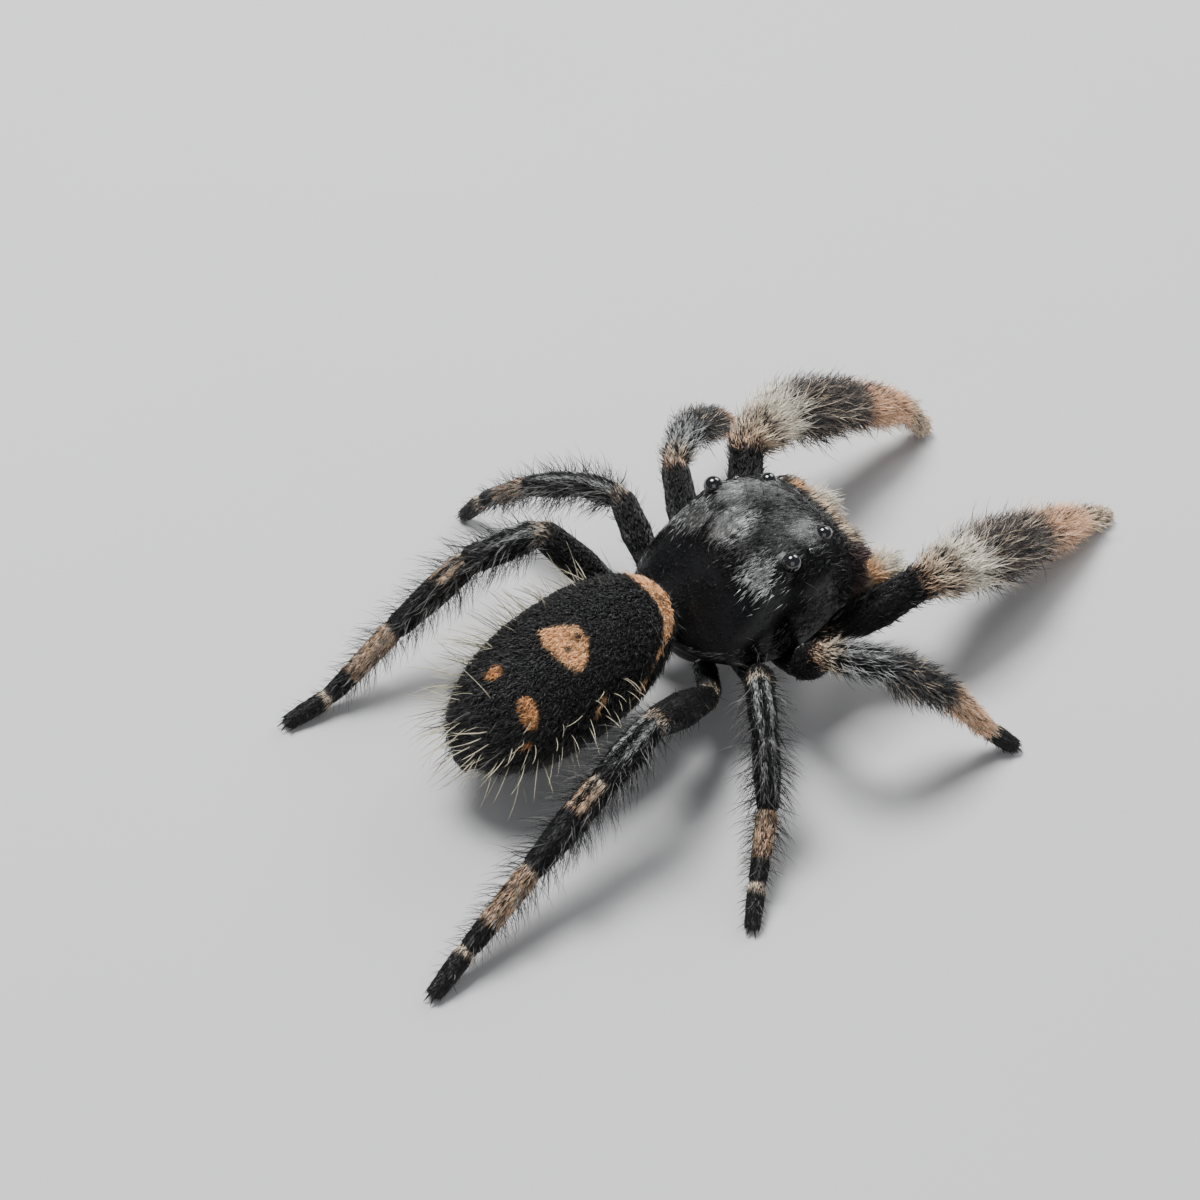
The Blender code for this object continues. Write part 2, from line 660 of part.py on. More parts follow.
def make_palp(draw, side, sign):
    """One feeler: up and forward from beside the mouth, then bent down in front."""
    joints = np.array(PALP_JOINTS) * (1.0, sign, 1.0)
    path = rounded_path(joints, PALP_ROUNDING, max(PALP_RADII))
    length = path_length(path)
    corners = np.cumsum([0.0, *np.linalg.norm(np.diff(joints, axis=0), axis=1)])
    where = np.linspace(0.0, length, 14)
    radii = np.interp(where, corners * length / corners[-1], PALP_RADII)
    radii[-2:] *= PALP_TIP
    thing = solid(f"palp_{side}", tube_rings(along_path(path, where), radii, 10), "dark_leg")
    locks = tube_locks(draw, path, lambda spot: np.interp(spot, where, radii), (0.0, length), PALP_LOCKS,
                       180, PALP_LOCK_SPREAD)
    combine(thing, locks, "UNION", "MANIFOLD")


def leg_joints(side, number):
    """The seven joints of one leg, from its root at the breastplate to the tip of its foot."""
    sign = 1 if side == "left" else -1
    flip = np.array((1.0, sign, 1.0))
    joints = [np.array(LEG_ROOTS[number]) * flip, np.array(LEG_HIPS[number]) * flip]
    stance = LEG_STANCE[side, number]
    for length, (outward, up) in zip(LEG_LENGTHS[number], stance[:-1]):
        joints.append(joints[-1] + length * heading(outward, math.radians(up)) * flip)
    tarsus = LEG_LENGTHS[number][-1]
    drop = math.asin((FOOT_HEIGHT - joints[-1][2]) / tarsus)
    joints.append(joints[-1] + tarsus * heading(stance[-1], drop) * flip)
    return np.array(joints)


def heading(outward, pitch):
    """Unit direction for degrees outward from straight ahead and a pitch in radians."""
    turn = math.radians(outward)
    return np.array((math.cos(turn) * math.cos(pitch), math.sin(turn) * math.cos(pitch), math.sin(pitch)))


def leg_radius(number, marks, where):
    """Radius of a leg at distances along it, where marks are the joints' own distances."""
    places = []
    for segment, share, _ in LEG_PROFILE:
        start = SEGMENTS.index(segment)
        places.append(marks[start] + share * (marks[start + 1] - marks[start]))
    radii = [radius for _, _, radius in LEG_PROFILE]
    thickness = 1.0 + (LEG_THICKNESS[number] - 1.0) * np.clip((where - marks[1]) / 0.8, 0.0, 1.0)
    return np.interp(where, places, radii) * thickness


def make_leg(draw, side, number):
    """The four nodes of one leg, cut square from one smooth tapering tube, with their fringes."""
    joints = leg_joints(side, number)
    path = rounded_path(joints, JOINT_ROUNDING, KNEE_RADIUS * LEG_THICKNESS[number])
    length = path_length(path)
    marks = np.cumsum([0.0, *np.linalg.norm(np.diff(joints, axis=0), axis=1)])
    marks = marks * length / marks[-1]
    for name, first, last, count in LEG_NODES:
        start = marks[first] + (GAP / 2 if first else 0.0)
        end = marks[last] - (GAP / 2 if last < 6 else 0.0)
        where = np.linspace(start, end, count)
        radii = leg_radius(number, marks, where)
        if last == 6:
            where = np.concatenate([where, [end + beyond for beyond, _ in FOOT_TIP]])
            radii = np.concatenate([radii, [radii[-1] * size for _, size in FOOT_TIP]])
        along = extend(path, where + PATH_STEP) - extend(path, where - PATH_STEP)
        rings = tube_rings(extend(path, where), radii, LEG_SIDES, LEG_FLATTEN, along)
        rings[..., 2] = np.maximum(rings[..., 2], 0.0)
        thing = solid(f"leg_{number}_{side}_{name}", rings, "dark_leg")
        if (number, name) in LEG_LOCKS:
            locks = tube_locks(draw, path, lambda spot: LEG_FLATTEN * leg_radius(number, marks, spot),
                               (start, end), LEG_LOCKS[number, name], 0, LEG_LOCK_SPREAD)
            combine(thing, locks, "UNION", "MANIFOLD")


def extend(path, where):
    """Points along a path, carried straight on past its end on the level."""
    end = path_length(path)
    points = along_path(path, np.minimum(where, end))
    last = unit((path[-1] - path[-2]) * (1.0, 1.0, 0.0))
    return points + np.maximum(where - end, 0.0)[:, None] * last


def make_spinnerets():
    """A short cone of silk organs under the rear end, square to the skin there."""
    height = abdomen_section(0.0)[0][2] - SPINNERET_DROP
    skin, outward = abdomen_underside(height, 0.4, 0.0)
    share = np.linspace(0.0, 1.0, 5)
    path = skin + outward * (GAP + SPINNERET_LENGTH * share[:, None])
    radii = SPINNERET_RADIUS * (1.0 - 0.5 * share ** 2)
    return solid("spinnerets", tube_rings(path, radii, 10, 1.3), "black_velvet")


def centre_on_floor():
    """Moves every mesh so that the origin is on the floor under the middle of the whole."""
    low, high = np.full(3, np.inf), np.full(3, -np.inf)
    for thing in bpy.data.objects:
        points = np.array([vert.co for vert in thing.data.vertices])
        low, high = np.minimum(low, points.min(axis=0)), np.maximum(high, points.max(axis=0))
    shift = np.array((0.5 * (low[0] + high[0]), 0.5 * (low[1] + high[1]), low[2]))
    for thing in bpy.data.objects:
        for vert in thing.data.vertices:
            vert.co -= type(vert.co)(shift)


def main():
    clear_scene()
    draw = random.Random(SEED)
    make_shield(draw)
    make_eyes()
    make_abdomen(draw)
    make_spinnerets()
    make_waist()
    make_sternum()
    make_mouth()
    for side, sign in (("left", 1), ("right", -1)):
        make_jaw(side, sign)
        make_palp(draw, side, sign)
        for number in LEG_LENGTHS:
            make_leg(draw, side, number)
    centre_on_floor()


main()
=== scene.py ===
"""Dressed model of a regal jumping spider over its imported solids.

Shapes are worked out in millimetres as (forward, left, up) from a spot on the floor under the back of
the head shield, and are turned into the row's metres where a mesh is made. One skin takes the place of
the legs, feelers, waist and abdomen. The coat is made of single hairs, each a thin closed body that
leaves the skin at an angle and bends over along the lie of the coat.
"""

import json
import logging
import math
from dataclasses import dataclass, field
from enum import Enum
from typing import Callable, Optional, Sequence, Union

import bpy
import numpy as np
from mathutils import Matrix, Vector

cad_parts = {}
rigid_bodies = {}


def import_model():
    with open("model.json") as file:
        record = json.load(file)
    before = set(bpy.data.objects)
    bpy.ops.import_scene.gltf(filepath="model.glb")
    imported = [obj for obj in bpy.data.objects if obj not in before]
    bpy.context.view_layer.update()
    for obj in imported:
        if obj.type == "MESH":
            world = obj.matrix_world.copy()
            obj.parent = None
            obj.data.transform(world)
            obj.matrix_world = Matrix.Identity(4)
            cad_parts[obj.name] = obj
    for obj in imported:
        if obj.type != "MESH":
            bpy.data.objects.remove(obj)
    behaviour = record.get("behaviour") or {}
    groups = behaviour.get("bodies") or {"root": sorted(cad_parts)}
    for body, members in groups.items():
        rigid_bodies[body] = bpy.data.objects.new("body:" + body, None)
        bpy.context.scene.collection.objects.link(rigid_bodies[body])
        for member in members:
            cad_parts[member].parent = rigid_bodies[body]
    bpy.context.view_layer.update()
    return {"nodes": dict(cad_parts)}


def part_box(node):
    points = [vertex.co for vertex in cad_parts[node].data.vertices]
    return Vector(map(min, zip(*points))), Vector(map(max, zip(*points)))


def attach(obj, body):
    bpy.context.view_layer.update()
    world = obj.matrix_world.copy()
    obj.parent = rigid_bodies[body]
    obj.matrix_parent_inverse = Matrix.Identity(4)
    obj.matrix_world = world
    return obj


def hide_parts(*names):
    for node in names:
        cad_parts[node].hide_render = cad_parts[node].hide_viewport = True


LOG = logging.getLogger("spider")
Array = np.ndarray
Triple = tuple[float, float, float]
MM = 0.001
TURN = 2.0 * math.pi
UP = np.array((0.0, 0.0, 1.0))
SIDES = (("left", 1.0), ("right", -1.0))
SEED = 5


# Placing and small maths


@dataclass(frozen=True)
class Placement:
    """Turns (forward, left, up) in millimetres into the row's metres.

    Args:
        left: millimetres added to the left.
        back: millimetres added to the back.
    """

    left: float
    back: float

    @classmethod
    def from_frame(cls, node: str, forward: float, left: float) -> "Placement":
        """Finds the shift from a node whose middle is known.

        Args:
            node: name of the solid.
            forward: how far forward its middle is, in millimetres.
            left: how far left its middle is.

        Returns:
            The placement that puts that point where the solid is.
        """
        low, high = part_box(node)
        middle = (low + high) * 0.5 / MM
        return cls(middle.x - left, middle.y + forward)

    def row(self, points: Array) -> Array:
        """Gives the row's metres for points in millimetres.

        Args:
            points: array whose last axis is (forward, left, up).

        Returns:
            An array of the same shape with x, y, z in metres.
        """
        points = np.asarray(points, float)
        parts = (points[..., 1] + self.left, self.back - points[..., 0], points[..., 2])
        return np.stack(parts, axis=-1) * MM


def unit(vectors: Array) -> Array:
    """Scales vectors to length one along the last axis."""
    return vectors / np.maximum(np.linalg.norm(vectors, axis=-1, keepdims=True), 1e-12)


def soft_step(low: float, high: float, value: Array) -> Array:
    """Rises smoothly from 0 at low to 1 at high: 3 t squared minus 2 t cubed."""
    t = np.clip((value - low) / (high - low), 0.0, 1.0)
    return t * t * (3.0 - 2.0 * t)


def smooth_curve(where: Array, stops: Sequence[float], values: Sequence[float]) -> Array:
    """Draws a smooth curve through the stops: a cubic between each two, with averaged slopes.

    Args:
        where: places along the curve.
        stops: places that are given, rising.
        values: heights at the stops.

    Returns:
        The heights at the places asked for, level beyond the ends.
    """
    stops, values = np.asarray(stops, float), np.asarray(values, float)
    slopes = np.gradient(values, stops)
    where = np.clip(where, stops[0], stops[-1])
    k = np.clip(np.searchsorted(stops, where, side="right") - 1, 0, len(stops) - 2)
    span = stops[k + 1] - stops[k]
    t = (where - stops[k]) / span
    start = (1 + 2 * t) * (1 - t) ** 2 * values[k] + t * (1 - t) ** 2 * span * slopes[k]
    return start + t * t * (3 - 2 * t) * values[k + 1] + t * t * (t - 1) * span * slopes[k + 1]


def domed(share: Array) -> Array:
    """Rises from 0 to 1 as a quarter circle does: the root of 1 less (1 - share) squared."""
    return np.sqrt(np.clip(1.0 - (1.0 - np.clip(share, 0.0, 1.0)) ** 2, 0.0, 1.0))


def mirrored(point: Union[Array, Sequence], sign: float) -> Array:
    """Moves a point or direction of the left side to the side that the sign stands for."""
    return np.asarray(point, float) * (1.0, sign, 1.0)


def stretches(path: Array) -> Array:
    """Lengths of the stretches between the points of a path."""
    return np.linalg.norm(np.diff(path, axis=0), axis=1)


def distances(path: Array) -> Array:
    """Distance of each point of a path from its start, along the path."""
    return np.concatenate([[0.0], np.cumsum(stretches(path))])


def factors(draw: np.random.Generator, spread: float, low: float, high: float,
            count: Union[int, tuple[int, int]]) -> Array:
    """Draws factors about 1 with a spread, none of them below low or over high."""
    return draw.normal(1.0, spread, count).clip(low, high)


def superellipse(angle: Array, power: Union[float, Array]) -> tuple[Array, Array]:
    """Gives across and up of an outline: cosine and sine raised to 2 over power, signs kept.

    Args:
        angle: angles round the outline.
        power: 2 for an ellipse, more for a squarer outline.

    Returns:
        Across and up, each from -1 to 1.
    """
    cosine, sine = np.cos(angle), np.sin(angle)
    across = np.sign(cosine) * np.abs(cosine) ** (2.0 / power)
    return across, np.sign(sine) * np.abs(sine) ** (2.0 / power)


# Meshes


def make_object(name: str, points: Array, faces: Sequence[Array], place: Placement,
                tone: Optional[Array] = None, chart: Optional[Array] = None) -> bpy.types.Object:
    """Makes a smooth mesh object at the origin.

    Args:
        name: name of the object.
        points: vertices in millimetres.
        faces: arrays of vertex numbers, one array for each number of corners.
        place: where the model stands.
        tone: a colour for each vertex, kept as the attribute Tone.
        chart: a place on the unwrap for each vertex, kept as the UV map OFBake.

    Returns:
        The new object, linked to the scene.
    """
    mesh = bpy.data.meshes.new(name)
    corners = np.concatenate([group.ravel() for group in faces]).astype(np.int32)
    counts = np.concatenate([np.full(len(group), group.shape[1]) for group in faces])
    mesh.vertices.add(len(points))
    mesh.vertices.foreach_set("co", place.row(points).astype(np.float32).ravel())
    mesh.loops.add(len(corners))
    mesh.loops.foreach_set("vertex_index", corners)
    mesh.polygons.add(len(counts))
    starts = np.concatenate([[0], np.cumsum(counts)[:-1]]).astype(np.int32)
    mesh.polygons.foreach_set("loop_start", starts)
    mesh.polygons.foreach_set("use_smooth", np.ones(len(counts), bool))
    mesh.update(calc_edges=True)
    if tone is not None:
        layer = mesh.attributes.new("Tone", "FLOAT_COLOR", "POINT")
        layer.data.foreach_set("color", np.insert(tone, 3, 1.0, axis=1).astype(np.float32).ravel())
    if chart is not None:
        layer = mesh.uv_layers.new(name="OFBake")
        layer.data.foreach_set("uv", chart[corners].astype(np.float32).ravel())
    thing = bpy.data.objects.new(name, mesh)
    bpy.context.scene.collection.objects.link(thing)
    return thing


def signed_volume(points: Array, quads: Array) -> float:
    """Six times the volume that quads enclose, negative where they face inwards."""
    a, b, c, d = (points[quads[:, k]] for k in range(4))
    return float(np.einsum("ij,ij->i", a, np.cross(b, c) + np.cross(c, d)).sum())


class Surface:
    """A closed surface in millimetres: u runs from pole to pole and v once round, both from 0 to 1."""

    def at(self, u: Array, v: Array) -> Array:
        """Gives the points at u and v, in millimetres."""
        raise NotImplementedError

    def frame(self, u: Array, v: Array) -> tuple[Array, Array, Array]:
        """Finds how the surface lies at some points.

        Args:
            u: places from end to end.
            v: places round.

        Returns:
            The points, the outward directions and the directions in which u grows.
        """
        step = 2e-3
        u = np.clip(u, step, 1.0 - step)
        along = self.at(u + step, v) - self.at(u - step, v)
        round_it = self.at(u, v + step) - self.at(u, v - step)
        here = self.at(u, v)
        outward = unit(np.cross(along, round_it))
        return here, outward * self.sense(), unit(along)

    def sense(self) -> float:
        """Tells whether u cross v faces outwards (1) or inwards (-1).

        Returns:
            The factor that turns u cross v outwards.
        """
        rows, sides = 24, 24
        u, v = np.meshgrid(np.linspace(0.02, 0.98, rows), np.arange(sides) / sides, indexing="ij")
        points = self.at(u.ravel(), v.ravel())
        return 1.0 if signed_volume(points, grid_quads(rows, sides)) > 0 else -1.0

    def shell(self, rows: int, sides: int) -> tuple[Array, list[Array], Array]:
        """Builds the whole surface as rings, a little closer at the ends, with a fan at each end.

        Args:
            rows: number of rings.
            sides: points round a ring.

        Returns:
            Vertices, face arrays, and u of each vertex.
        """
        crowding = 0.35
        close = 0.5 - 0.5 * np.cos(np.linspace(0.0, math.pi, rows + 2)[1:-1])
        spread = crowding * close + (1.0 - crowding) * np.linspace(0.0, 1.0, rows + 2)[1:-1]
        u, v = np.meshgrid(spread, np.arange(sides) / sides, indexing="ij")
        u, v = u.ravel(), v.ravel()
        points = self.at(u, v)
        poles = np.stack([self.at(np.full(8, end), np.arange(8) / 8).mean(axis=0) for end in (0.0, 1.0)])
        quads = grid_quads(rows, sides)
        ring = np.arange(sides)
        turn = (ring + 1) % sides
        last = (rows - 1) * sides
        fans = np.concatenate([np.stack([np.full(sides, rows * sides), ring, turn], 1),
                               np.stack([np.full(sides, rows * sides + 1), last + turn, last + ring], 1)])
        if signed_volume(points, quads) < 0:
            quads, fans = quads[:, ::-1], fans[:, ::-1]
        return np.concatenate([points, poles]), [quads, fans], np.concatenate([u, [0.0, 1.0]])

    def scatter(self, count: int, draw: np.random.Generator,
                share: Optional[Callable[[Array, Array], Array]] = None) -> tuple[Array, Array]:
        """Draws places evenly by area, or by area times a share.

        Args:
            count: how many places.
            draw: seeded source of chance.
            share: gives from u and v how densely each place is used.

        Returns:
            Arrays of u and v.
        """
        rows, sides = 90, 48
        u, v = np.meshgrid((np.arange(rows) + 0.5) / rows, (np.arange(sides) + 0.5) / sides, indexing="ij")
        u, v = u.ravel(), v.ravel()
        half = 0.45 / rows, 0.45 / sides
        edge_u = self.at(np.clip(u + half[0], 0, 1), v) - self.at(np.clip(u - half[0], 0, 1), v)
        edge_v = self.at(u, v + half[1]) - self.at(u, v - half[1])
        weight = np.linalg.norm(np.cross(edge_u, edge_v), axis=1)
        if share is not None:
            weight = weight * share(u, v)
        cell = draw.choice(len(u), size=count, p=weight / weight.sum())
        return (u[cell] + (draw.random(count) - 0.5) / rows), (v[cell] + (draw.random(count) - 0.5) / sides)


def grid_quads(rows: int, sides: int) -> Array:
    """Quads of a grid that is closed round, with vertex row * sides + place.

    Args:
        rows: number of rings.
        sides: points round a ring.

    Returns:
        One row of four vertex numbers for each quad.
    """
    row, place = np.meshgrid(np.arange(rows - 1), np.arange(sides), indexing="ij")
    a = (row * sides + place).ravel()
    b = (row * sides + (place + 1) % sides).ravel()
    return np.stack([a, a + sides, b + sides, b], axis=1)


# Colours of the coat


class Tone(Enum):
    """Linear colours of hair and shell."""

    BLACK = (0.0052, 0.0052, 0.0058)
    SOOT = (0.034, 0.033, 0.034)
    GREY = (0.120, 0.118, 0.112)
    SILVER = (0.50, 0.51, 0.50)
    CREAM = (0.86, 0.69, 0.51)
    STRAW = (0.78, 0.71, 0.51)
    WHITE = (0.97, 0.90, 0.75)
    PEACH = (0.98, 0.57, 0.28)
    ROSE = (0.98, 0.62, 0.39)
    ORANGE = (0.90, 0.41, 0.145)
    BROWN = (0.150, 0.118, 0.100)
    PURPLE = (0.100, 0.052, 0.058)

    def array(self) -> Array:
        """The colour as an array."""
        return np.array(self.value)


BLACK, SOOT, GREY, SILVER, CREAM, STRAW, WHITE, PEACH, ROSE, ORANGE, BROWN, PURPLE = Tone


def banded(where: Array, bands: Sequence[tuple[float, Tone]]) -> Array:
    """Blends between colours given at stops along a length.

    Args:
        where: places along the length.
        bands: stops with their colours, rising.

    Returns:
        A colour for each place.
    """
    stops = [stop for stop, _ in bands]
    colours = np.array([tone.value for _, tone in bands])
    return np.stack([np.interp(where, stops, colours[:, k]) for k in range(3)], axis=-1)


def mixed(first: Array, second: Array, share: Array) -> Array:
    """Blends two colours, or arrays of them, by a share for each row."""
    return first + (second - first) * share[:, None]


# Hair


@dataclass
class Hairs:
    """Hairs as arrays with one row each, in millimetres and degrees.

    Args:
        root: where each leaves the skin.
        out: the way the skin faces there.
        lie: the way each bends over.
        length: its length.
        width: its width at the root.
        lift: degrees off the skin at the root.
        fall: degrees off the skin at the tip.
        tone: its colour.
        chart: its root's place on the unwrap.
        sway: how far its tip drifts sideways, as a share of its length.
    """

    root: Array
    out: Array
    lie: Array
    length: Array
    width: Array
    lift: Array
    fall: Array
    tone: Array
    chart: Array
    sway: Array

    def above(self, height: float) -> "Hairs":
        """Keeps the hairs whose tips stay over a height.

        Args:
            height: millimetres over the floor.

        Returns:
            The hairs that stay.
        """
        pitch = np.radians(0.5 * (self.lift + self.fall))[:, None]
        tips = self.root + self.length[:, None] * (np.cos(pitch) * self.lie + np.sin(pitch) * self.out)
        return self.kept((tips[:, 2] > height) & (self.root[:, 2] > height))

    def kept(self, mask: Array) -> "Hairs":
        """Keeps the rows that a mask marks."""
        return Hairs(*[getattr(self, name)[mask] for name in self.__dataclass_fields__])

    @staticmethod
    def joined(sets: Sequence["Hairs"]) -> "Hairs":
        """Puts several sets into one."""
        names = Hairs.__dataclass_fields__
        return Hairs(*[np.concatenate([getattr(one, name) for one in sets]) for name in names])


@dataclass(frozen=True)
class HairBuilder:
    """Turns arrays of hairs into one mesh.

    Each hair has three-cornered sections at a few stations and ends in a point. Its middle line turns
    from lift to fall between root and tip.

    Args:
        stations: shares of the length where the sections sit.
        widths: width at each section as a share of the root's.
        sink: how deep the root sits under the skin.
        ridge: height of a section as a share of its width.
        patch: how wide a hair is on the unwrap.
        shading: brightness at the root, at the last section and at the tip: painted shade that darkens each
            hair towards the skin and painted light that brightens its tip.
    """

    stations: tuple[float, ...] = (0.0, 0.34, 0.70)
    widths: tuple[float, ...] = (1.0, 0.86, 0.52)
    sink: float = 0.014
    ridge: float = 0.55
    patch: float = 0.003
    shading: Triple = (0.72, 1.0, 1.12)

    def spine(self, hairs: Hairs) -> tuple[Array, Array]:
        """Works out the middle lines.

        Args:
            hairs: the hairs.

        Returns:
            Points (hair, station, 3) from the sunk root to the tip, and the sideways directions.
        """
        across = unit(np.cross(hairs.lie, hairs.out))
        stops = (*self.stations, 1.0)
        points = [hairs.root - self.sink * hairs.out]
        for before, after in zip(stops, stops[1:]):
            middle = 0.5 * (before + after)
            pitch = np.radians(hairs.lift + (hairs.fall - hairs.lift) * middle)[:, None]
            way = np.cos(pitch) * hairs.lie + np.sin(pitch) * hairs.out
            way = way + across * (hairs.sway * middle * 2.0)[:, None]
            points.append(points[-1] + way * (hairs.length * (after - before))[:, None])
        return np.stack(points, axis=1), across

    def build(self, name: str, hairs: Hairs, place: Placement) -> bpy.types.Object:
        """Makes the mesh object of all hairs.

        Args:
            name: name of the object.
            hairs: the hairs.
            place: where the model stands.

        Returns:
            The object, with the attribute Tone and the UV map OFBake.
        """
        spine, across = self.spine(hairs)
        count, sections = len(spine), len(self.stations)
        way = unit(np.gradient(spine, axis=1))[:, :sections]
        ridge = unit(np.cross(across[:, None, :], way))
        half = 0.5 * hairs.width[:, None, None] * np.array(self.widths)[None, :, None]
        middle = spine[:, :sections]
        side = across[:, None, :] * half
        corners = np.stack([middle - side, middle + side, middle + 2 * self.ridge * half * ridge], axis=2)
        points = np.concatenate([corners.reshape(count, sections * 3, 3), spine[:, -1:]], axis=1)
        size = sections * 3 + 1
        quads, ends = self.pattern(sections)
        start = (np.arange(count) * size)[:, None, None]
        faces = [(start + ends[None]).reshape(-1, 3)]
        if len(quads):
            faces.append((start + quads[None]).reshape(-1, 4))
        # Painted shade darkens each hair towards its root, and painted light brightens its tip.
        root, last, tip = self.shading
        shade_and_light = np.concatenate([np.repeat(np.linspace(root, last, sections), 3), [tip]])
        tone = hairs.tone[:, None, :] * shade_and_light[None, :, None]
        spread = np.concatenate([np.repeat(np.array(self.stations), 3), [1.0]]) * self.patch
        lateral = np.concatenate([np.tile([0.0, 1.0, 0.5], sections), [0.5]]) * self.patch
        chart = hairs.chart[:, None, :] + np.stack([spread, lateral], axis=-1)[None]
        LOG.info("%s: %d hairs, %d triangles", name, count, count * (6 * (sections - 1) + 4))
        return make_object(name, points.reshape(-1, 3), faces, place, tone.reshape(-1, 3),
                           chart.reshape(-1, 2))

    @staticmethod
    def pattern(sections: int) -> tuple[Array, Array]:
        """Gives the faces of one hair: quads between sections, the cap at its root and its tip.

        Args:
            sections: number of sections before the tip.

        Returns:
            Quads and triangles, as vertex numbers.
        """
        quads = [(3 * k + i, 3 * k + 3 + i, 3 * k + 3 + (i + 1) % 3, 3 * k + (i + 1) % 3)
                 for k in range(sections - 1) for i in range(3)]
        last, tip = 3 * (sections - 1), 3 * sections
        ends = [(0, 1, 2)] + [(last + i, tip, last + (i + 1) % 3) for i in range(3)]
        return np.array(quads), np.array(ends)


LONG_HAIR = HairBuilder()
SHORT_HAIR = HairBuilder(stations=(0.0, 0.55), widths=(1.0, 0.78), sink=0.008)
FINE_HAIR = HairBuilder(stations=(0.0,), widths=(1.0,), sink=0.006)
BRISTLE = HairBuilder(stations=(0.0, 0.18, 0.36, 0.54, 0.72, 0.88),
                      widths=(1.0, 0.96, 0.88, 0.76, 0.60, 0.40))
Coats = list[tuple[str, HairBuilder, Hairs]]


def even(length: float) -> Callable[[Array, Array, Array], Array]:
    """Gives a hair length that is the same everywhere."""
    return lambda u, v, out: np.full(len(u), length)


@dataclass
class Growth:
    """One kind of hair on one surface.

    Args:
        count: how many hairs.
        length: millimetres for each place, from u, v and the outward direction.
        lift: degrees off the skin at the root.
        fall: degrees off the skin at the tip.
        width: width at the root.
        tone: colours for each place, from u, v, the points and the outward directions.
        share: how densely each place is used, from u and v.
        backward: whether the hairs lie towards u = 0.
        droop: how strongly the lie is drawn downwards.
        unruly: random turn of the lie, in radians.
        sway: how far the tips drift sideways, as a share of their length.
        edge: margin that is left on the unwrap at its left and bottom.
        span: how much of the unwrap the surface has.
    """

    count: int
    length: Callable[[Array, Array, Array], Array]
    lift: float
    fall: float
    width: float
    tone: Callable[[Array, Array, Array, Array], Array]
    share: Optional[Callable[[Array, Array], Array]] = None
    backward: bool = False
    droop: float = 0.0
    unruly: float = 0.22
    sway: float = 0.14
    edge: float = 0.02
    span: float = 0.95

    def grow(self, surface: Surface, draw: np.random.Generator) -> Hairs:
        """Draws the hairs on a surface.

        Args:
            surface: what they grow from.
            draw: seeded source of chance.

        Returns:
            The hairs.
        """
        u, v = surface.scatter(self.count, draw, self.share)
        root, out, along = surface.frame(u, v)
        lie = (-along if self.backward else along) - self.droop * UP
        lie = unit(lie - (lie * out).sum(axis=1, keepdims=True) * out)
        turn = draw.normal(0.0, self.unruly, self.count)[:, None]
        lie = unit(np.cos(turn) * lie + np.sin(turn) * np.cross(out, lie))
        vary = factors(draw, 0.20, 0.5, 1.6, self.count)
        length = self.length(u, v, out) * vary
        seen = root + 0.5 * length[:, None] * lie
        shade = factors(draw, 0.16, 0.5, 1.5, self.count)
        chart = self.edge + self.span * np.stack([np.clip(u, 0, 1), np.mod(v, 1.0)], axis=-1)
        wobble = factors(draw, 0.22, 0.4, 1.7, self.count)
        return Hairs(root, out, lie, length, np.full(self.count, self.width) * vary ** 0.5,
                     self.lift * wobble, self.fall * wobble, self.tone(u, v, seen, out) * shade[:, None],
                     chart, draw.normal(0.0, self.sway, self.count))


# Shader nodes


class Sock:
    """A shader value with operators: an expression on values adds its Math nodes."""

    def __init__(self, graph: "Graph", socket: bpy.types.NodeSocket) -> None:
        """Keeps the graph and the output socket."""
        self.graph = graph
        self.socket = socket

    def math(self, operation: str, *values: Union["Sock", float]) -> "Sock":
        """Adds one Math node on this value and others."""
        return self.graph.node("ShaderNodeMath", {"operation": operation}, dict(enumerate((self, *values))))

    def __add__(self, other: Union["Sock", float]) -> "Sock":
        """This plus other."""
        return self.math("ADD", other)

    def __mul__(self, other: Union["Sock", float]) -> "Sock":
        """This times other."""
        return self.math("MULTIPLY", other)

    def __sub__(self, other: Union["Sock", float]) -> "Sock":
        """This minus other."""
        return self.math("SUBTRACT", other)

    def __rsub__(self, other: float) -> "Sock":
        """Other minus this."""
        return self.graph.node("ShaderNodeMath", {"operation": "SUBTRACT"}, {0: other, 1: self})

    __radd__ = __add__
    __rmul__ = __mul__

    def step(self, low: float, high: float) -> "Sock":
        """Rises smoothly from 0 at low to 1 at high."""
        return self.graph.node("ShaderNodeMapRange", {"interpolation_type": "SMOOTHSTEP"},
                               {"Value": self, "From Min": low, "From Max": high})


